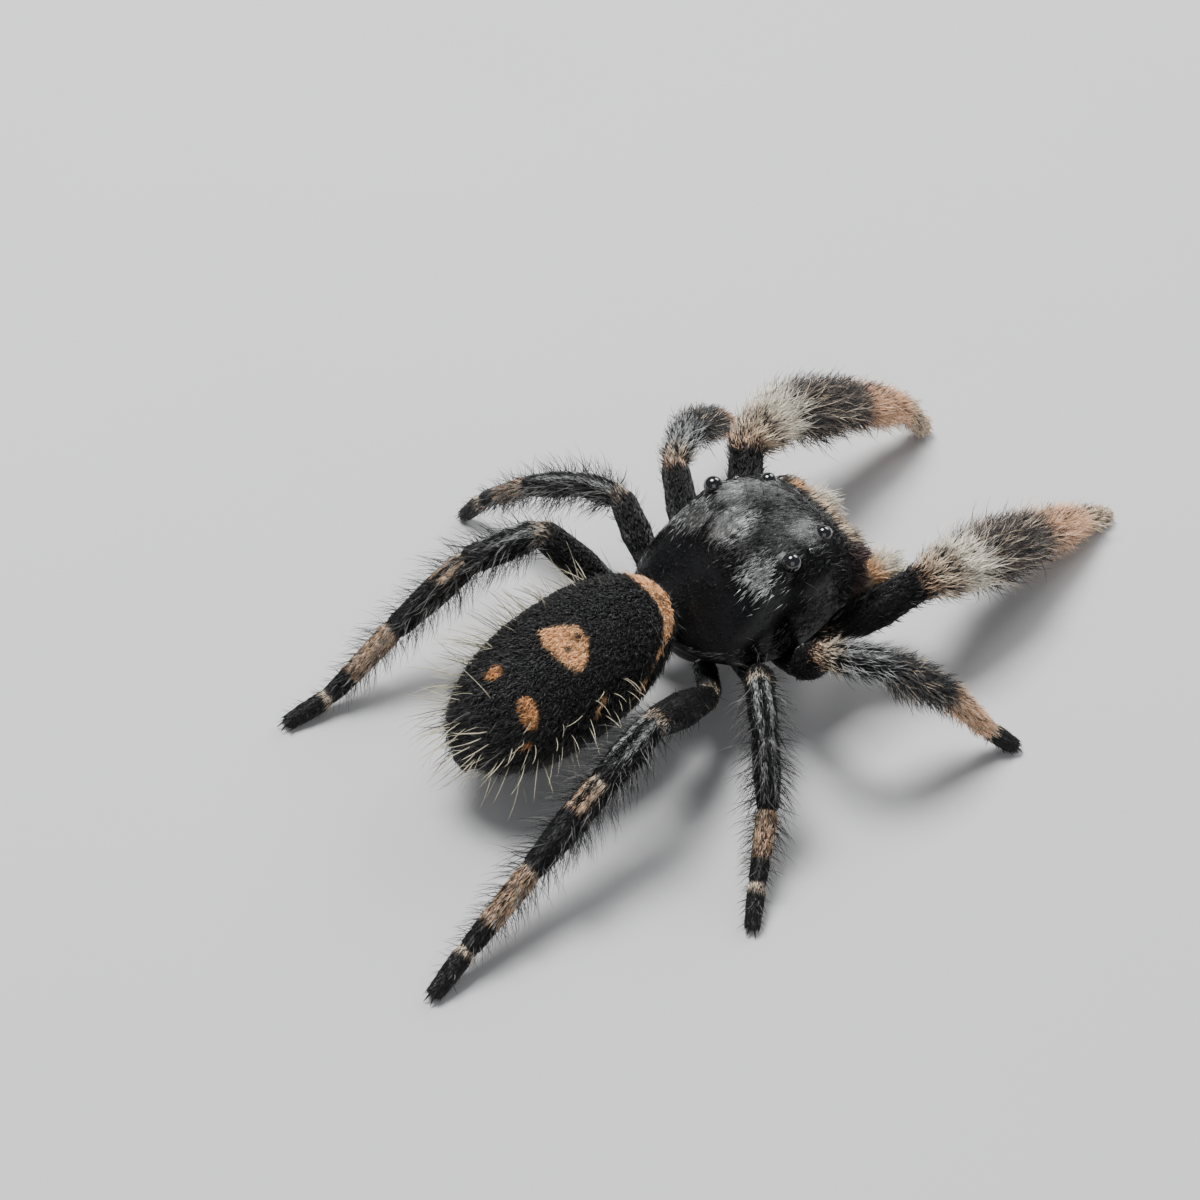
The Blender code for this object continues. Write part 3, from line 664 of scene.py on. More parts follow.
class Graph:
    """The node tree of one material."""

    def __init__(self, name: str) -> None:
        """Starts a material with a Principled shader.

        Args:
            name: name of the material.
        """
        self.material = bpy.data.materials.new(name)
        self.material.use_nodes = True
        self.tree = self.material.node_tree
        self.shader = self.tree.nodes["Principled BSDF"]

    def node(self, kind: str, settings: Optional[dict] = None, values: Optional[dict] = None,
             out: Union[int, str] = 0) -> Sock:
        """Adds any node.

        Args:
            kind: the node's type.
            settings: properties, set before the sockets.
            values: what each input gets, a number, a colour or a Sock.
            out: which output to return.

        Returns:
            The output asked for.
        """
        made = self.tree.nodes.new(kind)
        for key, value in (settings or {}).items():
            setattr(made, key, value)
        for key, value in (values or {}).items():
            self.feed(made.inputs[key], value)
        return Sock(self, made.outputs[out])

    def feed(self, target: bpy.types.NodeSocket, value: Union[Sock, float, Sequence[float]]) -> None:
        """Links or sets one input.

        Args:
            target: the input.
            value: a link, a number or a colour.
        """
        if isinstance(value, Sock):
            self.tree.links.new(value.socket, target)
        else:
            target.default_value = value

    def place(self) -> Sock:
        """Object coordinates."""
        return self.node("ShaderNodeTexCoord", out="Object")

    def noise(self, scale: float, detail: float = 3.0) -> Sock:
        """A noise value from 0 to 1, of so many features to a metre."""
        return self.node("ShaderNodeTexNoise", {}, {"Vector": self.place(), "Scale": scale, "Detail": detail},
                         out="Fac")

    def tone(self) -> Sock:
        """The colour that each vertex carries."""
        return self.node("ShaderNodeAttribute", {"attribute_name": "Tone"}, out="Color")

    def mix(self, share: Union[Sock, float], first: Union[Sock, Sequence[float]],
            second: Union[Sock, Sequence[float]]) -> Sock:
        """Blends two colours by a share.

        Args:
            share: 0 for the first, 1 for the second.
            first: a colour or a Sock.
            second: a colour or a Sock.

        Returns:
            The blended colour.
        """
        made = self.tree.nodes.new("ShaderNodeMix")
        made.data_type = "RGBA"
        self.feed(made.inputs["Factor"], share)
        for target, value in ((made.inputs[6], first), (made.inputs[7], second)):
            self.feed(target, value if isinstance(value, Sock) else (*value, 1.0))
        return Sock(self, made.outputs[2])

    def set(self, **values: Union[Sock, float, Sequence[float]]) -> None:
        """Sets or links inputs of the Principled shader, with _ for a space in their names."""
        for key, value in values.items():
            self.feed(self.shader.inputs[key.replace("_", " ")], value)

    def bump(self, height: Sock, distance: float) -> None:
        """Raises the surface by a height from 0 to 1 over a distance in metres."""
        normal = self.node("ShaderNodeBump", {}, {"Height": height, "Distance": distance}, out="Normal")
        self.feed(self.shader.inputs["Normal"], normal)


# Finishes


@dataclass(frozen=True)
class ShellFinish:
    """Hard shell: near black, glossy, with a fine grain.

    Args:
        name: name of the material.
        colour: its colour.
        tint: a second colour that drifts over it.
        roughness: how rough its smooth parts are.
        grain: height of the fine grain, in metres.
        metallic: metallic value.
        gloss: strength of the mirror-like shine.
        drifts: features of the tint to a metre.
        pits: pits to a metre.
        fines: features of the finest grain to a metre.
    """

    name: str
    colour: Triple
    tint: Triple
    roughness: float
    grain: float
    metallic: float = 0.0
    gloss: float = 0.30
    drifts: float = 900.0
    pits: float = 16000.0
    fines: float = 42000.0

    def make(self) -> bpy.types.Material:
        """Builds the material.

        Returns:
            The material.
        """
        graph = Graph(self.name)
        drift = graph.noise(self.drifts, 4.0).step(0.38, 0.68)
        pits = graph.node("ShaderNodeTexVoronoi", {"feature": "SMOOTH_F1"},
                          {"Vector": graph.place(), "Scale": self.pits}, out="Distance")
        fine = graph.noise(self.fines, 4.0)
        graph.set(Base_Color=graph.mix(drift, self.colour, self.tint), Metallic=self.metallic,
                  Roughness=self.roughness + 0.16 * drift + 0.10 * fine, Specular_IOR_Level=self.gloss)
        graph.bump(pits * 0.7 + fine * 0.5, self.grain)
        return graph.material


HEAD_SHELL = ShellFinish("head_shell", (0.0014, 0.0014, 0.0017), (0.003, 0.003, 0.0036), 0.20, 2.0e-6)
JAW_SHELL = ShellFinish("jaw_shell", (0.016, 0.010, 0.018), (0.030, 0.018, 0.040), 0.26, 4.0e-6, 0.35)
UNDER_SHELL = ShellFinish("under_shell", (0.010, 0.008, 0.008), (0.018, 0.013, 0.012), 0.38, 4.0e-6)


@dataclass(frozen=True)
class SkinFinish:
    """Skin under the coat, in the coat's own tones, with a grain like the roots of fine hair."""

    name: str = "skin"
    roughness: float = 0.30
    gloss: float = 0.45
    roots: float = 30000.0
    fines: float = 90000.0
    grain: float = 1.2e-5

    def make(self) -> bpy.types.Material:
        """Builds the material.

        Returns:
            The material.
        """
        graph = Graph(self.name)
        tone = graph.tone()
        grain = graph.noise(self.roots)
        dark = graph.mix(0.5, tone, BLACK.value)
        graph.set(Base_Color=graph.mix(grain.step(0.35, 0.65), dark, tone),
                  Roughness=self.roughness + 0.20 * grain, Specular_IOR_Level=self.gloss)
        graph.bump(grain + 0.6 * graph.noise(self.fines, 2.0), self.grain)
        return graph.material


@dataclass(frozen=True)
class CoatFinish:
    """Hair that carries its own tone, with a soft gloss.

    Args:
        name: name of the material.
        roughness: how rough it is.
        gloss: strength of the mirror-like shine.
        patches: darker patches to a metre.
    """

    name: str
    roughness: float
    gloss: float = 0.5
    patches: float = 2600.0

    def make(self) -> bpy.types.Material:
        """Builds the material.

        Returns:
            The material.
        """
        graph = Graph(self.name)
        tone = graph.tone()
        patchy = graph.noise(self.patches)
        dark = graph.mix(0.75, tone, BLACK.value)
        graph.set(Base_Color=graph.mix(patchy.step(0.24, 0.56), dark, tone),
                  Roughness=self.roughness + 0.15 * patchy, Specular_IOR_Level=self.gloss)
        return graph.material


LEG_HAIR = CoatFinish("leg_hair", 0.32)
ABDOMEN_HAIR = CoatFinish("abdomen_hair", 0.36, 0.6)
HEAD_HAIR = CoatFinish("head_hair", 0.42, 0.3)


@dataclass(frozen=True)
class EyeFinish:
    """A polished black lens, in two near-blacks that drift into each other."""

    name: str = "eye_lens"
    deep: Triple = (0.0016, 0.0018, 0.0022)
    tint: Triple = (0.004, 0.0035, 0.006)
    roughness: float = 0.035
    clouds: float = 2500.0

    def make(self) -> bpy.types.Material:
        """Builds the material.

        Returns:
            The material.
        """
        graph = Graph(self.name)
        depth = graph.noise(self.clouds, 2.0)
        graph.set(Base_Color=graph.mix(depth.step(0.3, 0.7), self.deep, self.tint),
                  Roughness=self.roughness + 0.02 * depth, Coat_Weight=1.0, Coat_Roughness=0.02, IOR=1.55)
        return graph.material


@dataclass(frozen=True)
class ClawFinish:
    """Dark horn of the claws, in two browns that run in streaks."""

    name: str = "claw_horn"
    dark: Triple = (0.006, 0.005, 0.005)
    pale: Triple = (0.03, 0.018, 0.012)
    roughness: float = 0.25
    streaks: float = 20000.0
    grain: float = 3e-6

    def make(self) -> bpy.types.Material:
        """Builds the material.

        Returns:
            The material.
        """
        graph = Graph(self.name)
        streak = graph.noise(self.streaks)
        graph.set(Base_Color=graph.mix(streak, self.dark, self.pale),
                  Roughness=self.roughness + 0.15 * streak)
        graph.bump(streak, self.grain)
        return graph.material


@dataclass(frozen=True)
class FloorFinish:
    """Plain pale matte floor, in two greys that are nearly the same."""

    name: str = "studio_floor"
    dark: Triple = (0.60, 0.60, 0.60)
    pale: Triple = (0.64, 0.64, 0.64)
    roughness: float = 0.85
    clouds: float = 60.0

    def make(self) -> bpy.types.Material:
        """Builds the material.

        Returns:
            The material.
        """
        graph = Graph(self.name)
        cloud = graph.noise(self.clouds, 2.0)
        graph.set(Base_Color=graph.mix(cloud, self.dark, self.pale), Roughness=self.roughness)
        return graph.material


# The shapes of the body


@dataclass
class HeadShell(Surface):
    """The head shield: a deep box-like dome with a shallow pan under its rim.

    u runs from back to front. A section is a superellipse above the rim and a flatter one below it,
    and a mound is raised under each eye. A curve is a row of stops from 0 at the back to 1 in front,
    and a row of values.
    """

    back: float = 0.42
    front: float = 5.15
    half_width: float = 2.36
    inset: float = 0.02
    face_from: float = 0.90
    face_bulge: float = 0.03
    face_middle: float = 3.40
    width_at: tuple = ((0.0, 0.03, 0.06, 0.16, 0.30, 0.45, 0.62, 0.80, 0.94, 1.0),
                       (0.10, 0.38, 0.54, 0.80, 0.96, 1.0, 0.97, 0.90, 0.81, 0.60))
    top_at: tuple = ((0.0, 0.06, 0.16, 0.28, 0.42, 0.56, 0.72, 0.88, 0.96, 1.0),
                     (2.70, 2.96, 3.38, 3.92, 4.48, 4.78, 4.82, 4.60, 4.34, 4.04))
    rim_at: tuple = ((0.0, 0.3, 0.60, 0.72, 0.84, 1.0), (2.60, 2.57, 2.60, 2.72, 2.92, 3.05))
    under_at: tuple = ((0.0, 0.56, 0.70, 0.84, 1.0), (2.34, 2.32, 2.48, 2.76, 2.84))
    roundness_at: tuple = ((0.0, 0.30, 0.60, 1.0), (0.92, 0.80, 0.54, 0.56))
    pan_roundness: float = 0.5
    narrowing: float = 0.10
    bulge: float = 0.10
    bulge_from: float = 0.93
    bulge_share: float = 0.2
    rounding: float = 0.6

    def at(self, u: Array, v: Array) -> Array:
        """Gives the points: along the length by u, round the section by v, with the face at the end.

        Args:
            u: places from end to end.
            v: places round.

        Returns:
            The points.
        """
        turn = 0.5 * math.pi * np.clip((u - self.face_from) / (1.0 - self.face_from), 0.0, 1.0)
        u = np.minimum(u / self.face_from, 1.0)
        angle = TURN * v
        over = np.sin(angle) > 0
        power = np.where(over, smooth_curve(u, *self.roundness_at), self.pan_roundness)
        across = np.sign(np.cos(angle)) * np.abs(np.cos(angle)) ** power
        up = np.abs(np.sin(angle)) ** power
        width = self.half_width * smooth_curve(u, *self.width_at) - self.inset
        top, rim, under = (smooth_curve(u, *curve) for curve in (self.top_at, self.rim_at, self.under_at))
        height = np.where(over, rim + (top - self.inset - rim) * up, rim - (rim - under) * up)
        narrowing = 1.0 - self.narrowing * np.where(over, up ** 2, 0.0)
        bulge = self.bulge * soft_step(self.bulge_from, 1.0, u) * (1 - np.cos(angle * 2)) * self.bulge_share
        forward = self.back + (self.front - self.back) * u - bulge
        size = np.cos(turn) ** self.rounding
        forward = forward + self.face_bulge * np.sin(turn)
        height = self.face_middle + (height - self.face_middle) * size
        points = np.stack([forward, width * across * narrowing * size, height], axis=-1)
        return self.with_eye_mounds(points)

    def with_eye_mounds(self, points: Array) -> Array:
        """Raises a mound under each eye: its height times exp(-(distance / reach) squared).

        Args:
            points: points of the plain shield.

        Returns:
            The points with the mounds.
        """
        for eye in EYES:
            for _, sign in SIDES:
                distance = np.linalg.norm(points - mirrored(eye.centre, sign), axis=-1, keepdims=True)
                near = np.exp(-(distance / (eye.spread * eye.radius)) ** 2)
                points = points + unit(mirrored(eye.facing, sign)) * near * eye.mound
        return points


@dataclass
class AbdomenShape(Surface):
    """The abdomen: an egg whose section is a superellipse, flatter below and undercut in front.

    u runs from back to front. The skin lies inside the outline of the solid by the depth of its coat.
    """

    rear: Triple = (-5.16, -0.34, 1.85)
    front: Triple = (0.74, 0.02, 3.16)
    half_width: float = 1.76
    half_height: float = 1.50
    undercut: float = 0.62
    undercut_from: float = 0.70
    undercut_over: float = 0.24
    depth: float = 0.05
    least: float = 0.02
    reach: tuple[float, float] = (0.012, 0.976)
    plumpness: float = 2.3
    narrowing: float = 0.05
    squareness: float = 2.15
    over: float = 1.08
    under: float = 0.92

    def at(self, u: Array, v: Array) -> Array:
        """Gives the points: share of the length by u with closer rings at the ends, angle by v.

        Args:
            u: places from end to end.
            v: places round.

        Returns:
            The points.
        """
        start, span = self.reach
        share = 0.5 - 0.5 * np.cos(math.pi * (start + span * u))
        rear, front = np.array(self.rear), np.array(self.front)
        centre = rear + (front - rear) * share[..., None]
        offset = 2.0 * share - 1.0
        full = np.sqrt(np.clip(1.0 - np.abs(offset) ** self.plumpness, 0.0, 1.0))
        wide = self.half_width * full * (1.0 - self.narrowing * offset)
        width = np.maximum(wide - self.depth, self.least)
        high = np.maximum(self.half_height * full - self.depth, self.least)
        cut = self.undercut * np.clip((share - self.undercut_from) / self.undercut_over, 0.0, 1.0)
        below = high * (self.under - cut)
        across, up = superellipse(TURN * v, self.squareness)
        height = up * np.where(up > 0, self.over * high, below)
        return centre + np.stack([np.zeros_like(width), across * width, height], axis=-1)


@dataclass
class Ellipsoid(Surface):
    """A sphere or an ellipsoid with its poles ahead and behind.

    Args:
        centre: its middle.
        half: half its length, width and height.
        squareness: 2 for round sections, more for squarer ones.
        fullness: 1 for round ends, less for blunter ones.
    """

    centre: Union[Array, Triple]
    half: Triple
    squareness: float = 2.0
    fullness: float = 1.0

    def at(self, u: Array, v: Array) -> Array:
        """Gives the points: polar angle pi times u, section a superellipse, its size a power of the sine.

        Args:
            u: places from end to end.
            v: places round.

        Returns:
            The points.
        """
        polar = math.pi * u
        across, up = superellipse(TURN * v, self.squareness)
        size = np.sin(polar) ** self.fullness
        way = np.stack([-np.cos(polar), across * size, up * size], axis=-1)
        return np.array(self.centre) + way * self.half


CHEST = Ellipsoid(centre=(2.75, 0.0, 1.98), half=(2.05, 1.45, 0.56), squareness=3.0, fullness=0.7)


@dataclass
class Tube(Surface):
    """A tube about a path, with u as the share of its length.

    Args:
        path: points of the middle line.
        stops: distances along it where radii are given.
        radii: radii there.
        flatten: width as a share of height.
        floor: no point lies lower than this.
    """

    path: Array
    stops: Array
    radii: Array
    flatten: float = 0.94
    floor: float = 0.012
    travelled: Array = field(init=False)

    def __post_init__(self) -> None:
        """Measures the path."""
        self.travelled = distances(self.path)

    def middle(self, where: Array) -> Array:
        """Points of the middle line at distances along it, carried straight on past its ends.

        Args:
            where: distances along the path.

        Returns:
            The points.
        """
        inside = np.clip(where, 0.0, self.travelled[-1])
        points = np.stack([np.interp(inside, self.travelled, self.path[:, k]) for k in range(3)], axis=-1)
        last = unit(self.path[-1] - self.path[-2])
        first = unit(self.path[1] - self.path[0])
        return (points + np.maximum(where - self.travelled[-1], 0.0)[..., None] * last
                + np.minimum(where, 0.0)[..., None] * first)

    def radius(self, where: Array) -> Array:
        """Radius at distances along the path, rounded off at both ends like a dome.

        Args:
            where: distances along the path.

        Returns:
            The radii.
        """
        plain = smooth_curve(where, self.stops, self.radii)
        left = self.travelled[-1] - where
        return plain * domed(where / (0.5 * plain)) * domed(left / (0.5 * plain))

    def at(self, u: Array, v: Array) -> Array:
        """Gives the points: the middle line at u, plus radius times the turned frame at v.

        Args:
            u: places from end to end.
            v: places round.

        Returns:
            The points.
        """
        where = u * self.travelled[-1]
        step = 0.06
        along = unit(self.middle(where + step) - self.middle(where - step))
        side = unit(np.cross(along, UP))
        top = np.cross(side, along)
        radius = np.maximum(self.radius(where), 0.004)[..., None]
        angle = TURN * np.asarray(v)[..., None]
        round_it = np.cos(angle) * side * self.flatten + np.sin(angle) * top
        points = self.middle(where) + radius * round_it
        points[..., 2] = np.maximum(points[..., 2], self.floor)
        return points


def rounded_path(joints: Array, rounding: float, girth: float) -> Array:
    """Draws a fine line through joints, each corner a parabola wide enough for the tube's girth.

    Args:
        joints: the corners.
        rounding: least reach of a corner's curve.
        girth: radius of the tube.

    Returns:
        The points of the line.
    """
    points = [joints[0]]
    share = np.linspace(0.0, 1.0, 9)[:, None]
    slack, most = 1.15, 0.45
    for before, corner, after in zip(joints, joints[1:], joints[2:]):
        turn = math.acos(np.clip(unit(corner - before) @ unit(after - corner), -1.0, 1.0))
        wanted = max(rounding, slack * girth * math.tan(0.5 * turn))
        reach = min(wanted, most * np.linalg.norm(corner - before), most * np.linalg.norm(after - corner))
        start = corner + unit(before - corner) * reach
        end = corner + unit(after - corner) * reach
        points.extend((1 - share) ** 2 * start + 2 * share * (1 - share) * corner + share ** 2 * end)
    points.append(joints[-1])
    return np.array(points)


def heading(outward: float, pitch: float) -> Array:
    """Direction for degrees outward from straight ahead and a pitch in radians."""
    turn = math.radians(outward)
    return np.array((math.cos(turn) * math.cos(pitch), math.sin(turn) * math.cos(pitch), math.sin(pitch)))


# Legs


@dataclass(frozen=True)
class LegPlan:
    """Sizes, stance and markings of one pair of legs.

    Args:
        lengths: femur, patella, tibia, metatarsus and tarsus.
        thickness: factor on the common radii.
        root: where the left coxa starts.
        hip: where the left femur starts.
        left: stance of the left leg, degrees outward and up for each length, outward only for the last.
        right: stance of the right leg.
        bands: stops from 0 at the root to 6 at the tip, by segments, each with the colour of its pale
            hairs and their share among black ones.
        shag: stops of the same kind, and the hair length at each.
        fringe: number of long hairs.
    """

    lengths: tuple[float, ...]
    thickness: float
    root: Triple
    hip: Triple
    left: tuple
    right: tuple
    bands: tuple
    shag: tuple
    fringe: int


HIP_BANDS = ((0.0, BLACK, 0.0), (0.80, CREAM, 0.0), (0.95, CREAM, 0.35), (1.06, CREAM, 0.25),
             (1.16, BLACK, 0.0))
FRONT_BANDS = (*HIP_BANDS, (1.86, BLACK, 0.0), (1.94, ROSE, 0.50), (2.02, CREAM, 0.75),
               (2.15, CREAM, 0.85), (2.22, BROWN, 0.40), (2.32, CREAM, 0.85), (2.46, WHITE, 0.97),
               (2.95, WHITE, 0.94), (3.10, BROWN, 0.60), (3.90, BROWN, 0.50), (4.02, BROWN, 0.60),
               (4.14, ROSE, 0.85), (4.85, ROSE, 0.95), (5.08, CREAM, 0.95), (5.80, CREAM, 0.95),
               (6.0, ROSE, 0.9))
SECOND_BANDS = (*HIP_BANDS, (1.86, BLACK, 0.0), (1.95, ROSE, 0.35), (2.02, CREAM, 0.60),
                (2.25, SILVER, 0.66), (2.80, SILVER, 0.54), (3.05, GREY, 0.46), (3.90, GREY, 0.30),
                (4.03, ROSE, 0.85), (4.70, ROSE, 0.92), (4.92, ROSE, 0.90), (5.08, CREAM, 0.60),
                (5.20, BLACK, 0.0), (6.0, BLACK, 0.0))
THIRD_BANDS = (*HIP_BANDS, (1.90, BLACK, 0.0), (1.97, CREAM, 0.45), (2.06, SILVER, 0.46),
               (2.90, SILVER, 0.32), (3.80, SILVER, 0.20), (3.96, BLACK, 0.0), (4.02, ROSE, 0.72),
               (4.60, ROSE, 0.68), (4.68, BLACK, 0.0), (4.97, BLACK, 0.0), (5.01, CREAM, 0.75),
               (5.12, CREAM, 0.50), (5.20, SOOT, 0.60), (6.0, SOOT, 0.40))
FOURTH_BANDS = (*HIP_BANDS, (1.90, BLACK, 0.0), (1.97, CREAM, 0.50), (2.06, SILVER, 0.46),
                (2.60, SILVER, 0.30), (2.94, BLACK, 0.0), (3.00, CREAM, 0.66), (3.18, ROSE, 0.66),
                (3.32, ROSE, 0.45), (3.38, BLACK, 0.0), (3.97, BLACK, 0.0), (4.03, ROSE, 0.74),
                (4.62, ROSE, 0.70), (4.70, BLACK, 0.0), (4.96, BLACK, 0.0), (5.00, CREAM, 0.80),
                (5.08, CREAM, 0.55), (5.14, SOOT, 0.60), (6.0, SOOT, 0.40))
FORE_STOPS = (0.0, 1.6, 2.0, 2.6, 3.2, 3.8, 4.4, 5.0, 6.0)
HIND_STOPS = (0.0, 1.6, 2.0, 3.0, 4.0, 4.8, 5.2, 6.0)
LEGS = {
    1: LegPlan(lengths=(2.79, 1.54, 2.95, 2.57, 1.42), thickness=1.16,
               root=(3.72, 0.84, 1.66), hip=(4.35, 1.85, 1.70),
               left=((54, 42), (23, 1), (10, -22), (5, -29), -8),
               right=((10, 24), (-11, -12), (-13, -18), (-11, -20), -7), bands=FRONT_BANDS,
               shag=(FORE_STOPS, (0.14, 0.24, 0.46, 0.84, 1.08, 0.92, 0.72, 0.50, 0.26)), fringe=7200),
    2: LegPlan(lengths=(2.44, 1.51, 2.23, 1.77, 0.93), thickness=1.0,
               root=(2.94, 0.88, 1.66), hip=(3.15, 2.30, 1.70),
               left=((74, 44), (43, -1), (30, -31), (26, -42), 26),
               right=((113, 52), (33, -8), (18, -39), (28, -49), 37), bands=SECOND_BANDS,
               shag=(FORE_STOPS, (0.14, 0.22, 0.36, 0.44, 0.60, 0.56, 0.30, 0.22, 0.18)), fringe=2400),
    3: LegPlan(lengths=(2.09, 1.34, 1.77, 1.85, 1.06), thickness=0.94,
               root=(2.14, 0.88, 1.66), hip=(2.00, 2.35, 1.70),
               left=((96, 49), (107, -14), (117, -27), (113, -40), 121),
               right=((135, 51), (115, -27), (115, -58), (132, -20), 131), bands=THIRD_BANDS,
               shag=(HIND_STOPS, (0.16, 0.28, 0.52, 0.70, 0.62, 0.40, 0.28, 0.22)), fringe=1000),
    4: LegPlan(lengths=(2.79, 1.89, 2.51, 2.30, 1.25), thickness=1.04,
               root=(1.34, 0.82, 1.68), hip=(0.75, 2.00, 1.75),
               left=((142, 45), (160, -20), (173, -37), (185, -31), 182),
               right=((157, 26), (163, -16), (165, -24), (163, -21), 162), bands=FOURTH_BANDS,
               shag=(HIND_STOPS, (0.16, 0.30, 0.54, 0.76, 0.66, 0.44, 0.30, 0.22)), fringe=1250),
}


@dataclass
class Leg:
    """One leg: its tube of skin, its claws and its coat.

    Args:
        side: left or right.
        sign: 1 for the left side and -1 for the right.
        number: 1 to 4 from the front.
        depth: how far the skin lies inside the solid.
        knee_radius: radius that its bends are rounded for.
        rounding: least reach of a bend.
        foot_height: height of the foot's middle line at its tip.
        dip: how much thinner it is at a joint, as a share.
        dip_reach: how far that dip spreads.
        growth_reach: how far past the hip the leg takes on its thickness.
        profile: stops from 0 at the root to 6 at the tip, each with its radius.
        hook: length, spacing and thickness of a claw, its rise at the root and its fall to the point.
    """

    side: str
    sign: float
    number: int
    depth: float = 0.04
    knee_radius: float = 0.41
    rounding: float = 0.30
    foot_height: float = 0.11
    dip: float = 0.13
    dip_reach: float = 0.11
    growth_reach: float = 0.8
    profile: tuple = ((0.0, 0.31), (0.6, 0.34), (1.0, 0.32), (1.15, 0.36), (1.5, 0.46), (1.85, 0.41),
                      (2.0, 0.37), (2.5, 0.41), (3.0, 0.36), (3.45, 0.39), (4.0, 0.31), (4.3, 0.30),
                      (5.0, 0.26), (5.5, 0.255), (6.0, 0.22))
    hook: tuple[float, ...] = (0.22, 0.05, 0.034, 0.05, 0.12)

    def __post_init__(self) -> None:
        """Works out the joints, the path and the tube."""
        self.plan = LEGS[self.number]
        joints = self.joints()
        path = rounded_path(joints, self.rounding, self.knee_radius * self.plan.thickness)
        self.length = float(stretches(path).sum())
        self.marks = distances(joints) * self.length / stretches(joints).sum()
        stops = np.linspace(0.0, self.length, 160)
        self.tube = Tube(path, stops, self.radii(stops))

    def joints(self) -> Array:
        """The seven joints, from the root to the tip of the foot.

        Returns:
            One row for each joint, in millimetres.
        """
        points = [mirrored(self.plan.root, self.sign), mirrored(self.plan.hip, self.sign)]
        stance = self.plan.left if self.sign > 0 else self.plan.right
        for length, (outward, up) in zip(self.plan.lengths, stance[:-1]):
            points.append(points[-1] + mirrored(length * heading(outward, math.radians(up)), self.sign))
        tarsus = self.plan.lengths[-1]
        drop = math.asin((self.foot_height - points[-1][2]) / tarsus)
        points.append(points[-1] + mirrored(tarsus * heading(stance[-1], drop), self.sign))
        return np.array(points)

    def segment(self, u: Array) -> Array:
        """Place along the leg as segments from 0 at the root to 6 at the tip."""
        return np.interp(u * self.length, self.marks, np.arange(7.0))

    def radii(self, where: Array) -> Array:
        """Skin radii: the solid's less the coat, with a dip at each joint.

        Args:
            where: distances along the path.

        Returns:
            The radii of the skin.
        """
        place = np.interp(where, self.marks, np.arange(7.0))
        stops, values = zip(*self.profile)
        share = np.clip((where - self.marks[1]) / self.growth_reach, 0.0, 1.0)
        grow = 1.0 + (self.plan.thickness - 1.0) * share
        plain = np.interp(place, stops, values) * grow - self.depth
        for mark in self.marks[1:6]:
            plain = plain * (1.0 - self.dip * np.exp(-((where - mark) / self.dip_reach) ** 2))
        return plain

    def skin_tone(self, u: Array) -> Array:
        """Skin colours along the leg: black, with a little of the hair's colour in its bands."""
        colour, share = self.pale(u)
        return mixed(BLACK.array(), colour * 0.55, share * 0.6)

    def pale(self, u: Array) -> tuple[Array, Array]:
        """Colour of the pale hairs at some places and their share among the black ones.

        Args:
            u: places from end to end.

        Returns:
            The colours and the shares.
        """
        place = self.segment(u)
        stops = [stop for stop, _, _ in self.plan.bands]
        return (banded(place, [(stop, tone) for stop, tone, _ in self.plan.bands]),
                np.interp(place, stops, [share for _, _, share in self.plan.bands]))

    def coats(self, draw: np.random.Generator) -> Coats:
        """Grows the undercoat and the long hairs.

        Args:
            draw: seeded source of chance.

        Returns:
            Name, builder and hairs of each piece. Hairs that would reach the floor are left out.
        """
        shaggy = self.number < 3

        def shag(u: Array, v: Array, out: Array) -> Array:
            """Length of the long hairs, shorter on top of the front legs."""
            low = 0.62 + 0.38 * soft_step(0.7, -0.1, out[:, 2]) if shaggy else 1.0
            return np.interp(self.segment(u), *self.plan.shag) * low

        def short(u: Array, v: Array, out: Array) -> Array:
            """Length of the undercoat."""
            return 0.15 + (0.14 if shaggy else 0.04) * shag(u, v, out)

        def flat_tone(u: Array, v: Array, seen: Array, out: Array) -> Array:
            """Black hairs with a share of pale ones, the silver ones in two streaks along the top: painted
            highlight on real silver hair.

            Args:
                u: places from end to end.
                v: places round.
                seen: points halfway along the hairs, not used.
                out: the ways the skin faces.

            Returns:
                A colour for each hair.
            """
            colour, share = self.pale(u)
            place = self.segment(u)
            aside = np.abs(np.cos(TURN * v))
            # Painted highlight: silver hairs crowd into two streaks on the upper side, where the glossy leg
            # catches the light.
            streak = soft_step(0.0, 0.3, out[:, 2]) * np.exp(-((aside - 0.46) / 0.20) ** 2)
            streaked = (place > 2.06) & (place < 3.9) & (self.number > 1) & (colour[:, 2] > 0.36)
            share = np.where(streaked, 2.6 * share * streak, share)
            cream = (draw.random(len(u)) < 0.4) & (colour[:, 0] > 0.5)
            colour = np.where(cream[:, None], CREAM.array() * 1.1, colour)
            return np.where((draw.random(len(u)) < share)[:, None], colour, BLACK.array())

        def long_tone(u: Array, v: Array, seen: Array, out: Array) -> Array:
            """Long hairs: as the bands on the front legs, soot and grey on the hind ones.

            Args:
                u: places from end to end.
                v: places round, not used.
                seen: points halfway along the hairs, not used.
                out: the ways the skin faces, not used.

            Returns:
                A colour for each hair.
            """
            colour, share = self.pale(u)
            pale = draw.random(len(u)) < (share if shaggy else 0.42)
            brown = colour[:, 0] < 0.3
            cream = brown & (draw.random(len(u)) < 0.3)
            colour = np.where(cream[:, None], CREAM.array() * 0.8, colour)
            grey_strand = draw.random(len(u)) < 0.5
            plain = np.where(grey_strand[:, None], SOOT.array(), BLACK.array() * 2)
            return np.where(pale[:, None], colour if shaggy else GREY.array() * 1.8, plain)

        def beyond_hip(u: Array, v: Array) -> Array:
            """Fewer hairs on the hidden root, and on the glossy black stretches of the hind legs."""
            bare = 1.0 if shaggy else 0.45 + 0.55 * np.minimum(1.0, 1.6 * self.pale(u)[1])
            return (0.30 + 0.70 * soft_step(0.5, 1.2, self.segment(u))) * bare

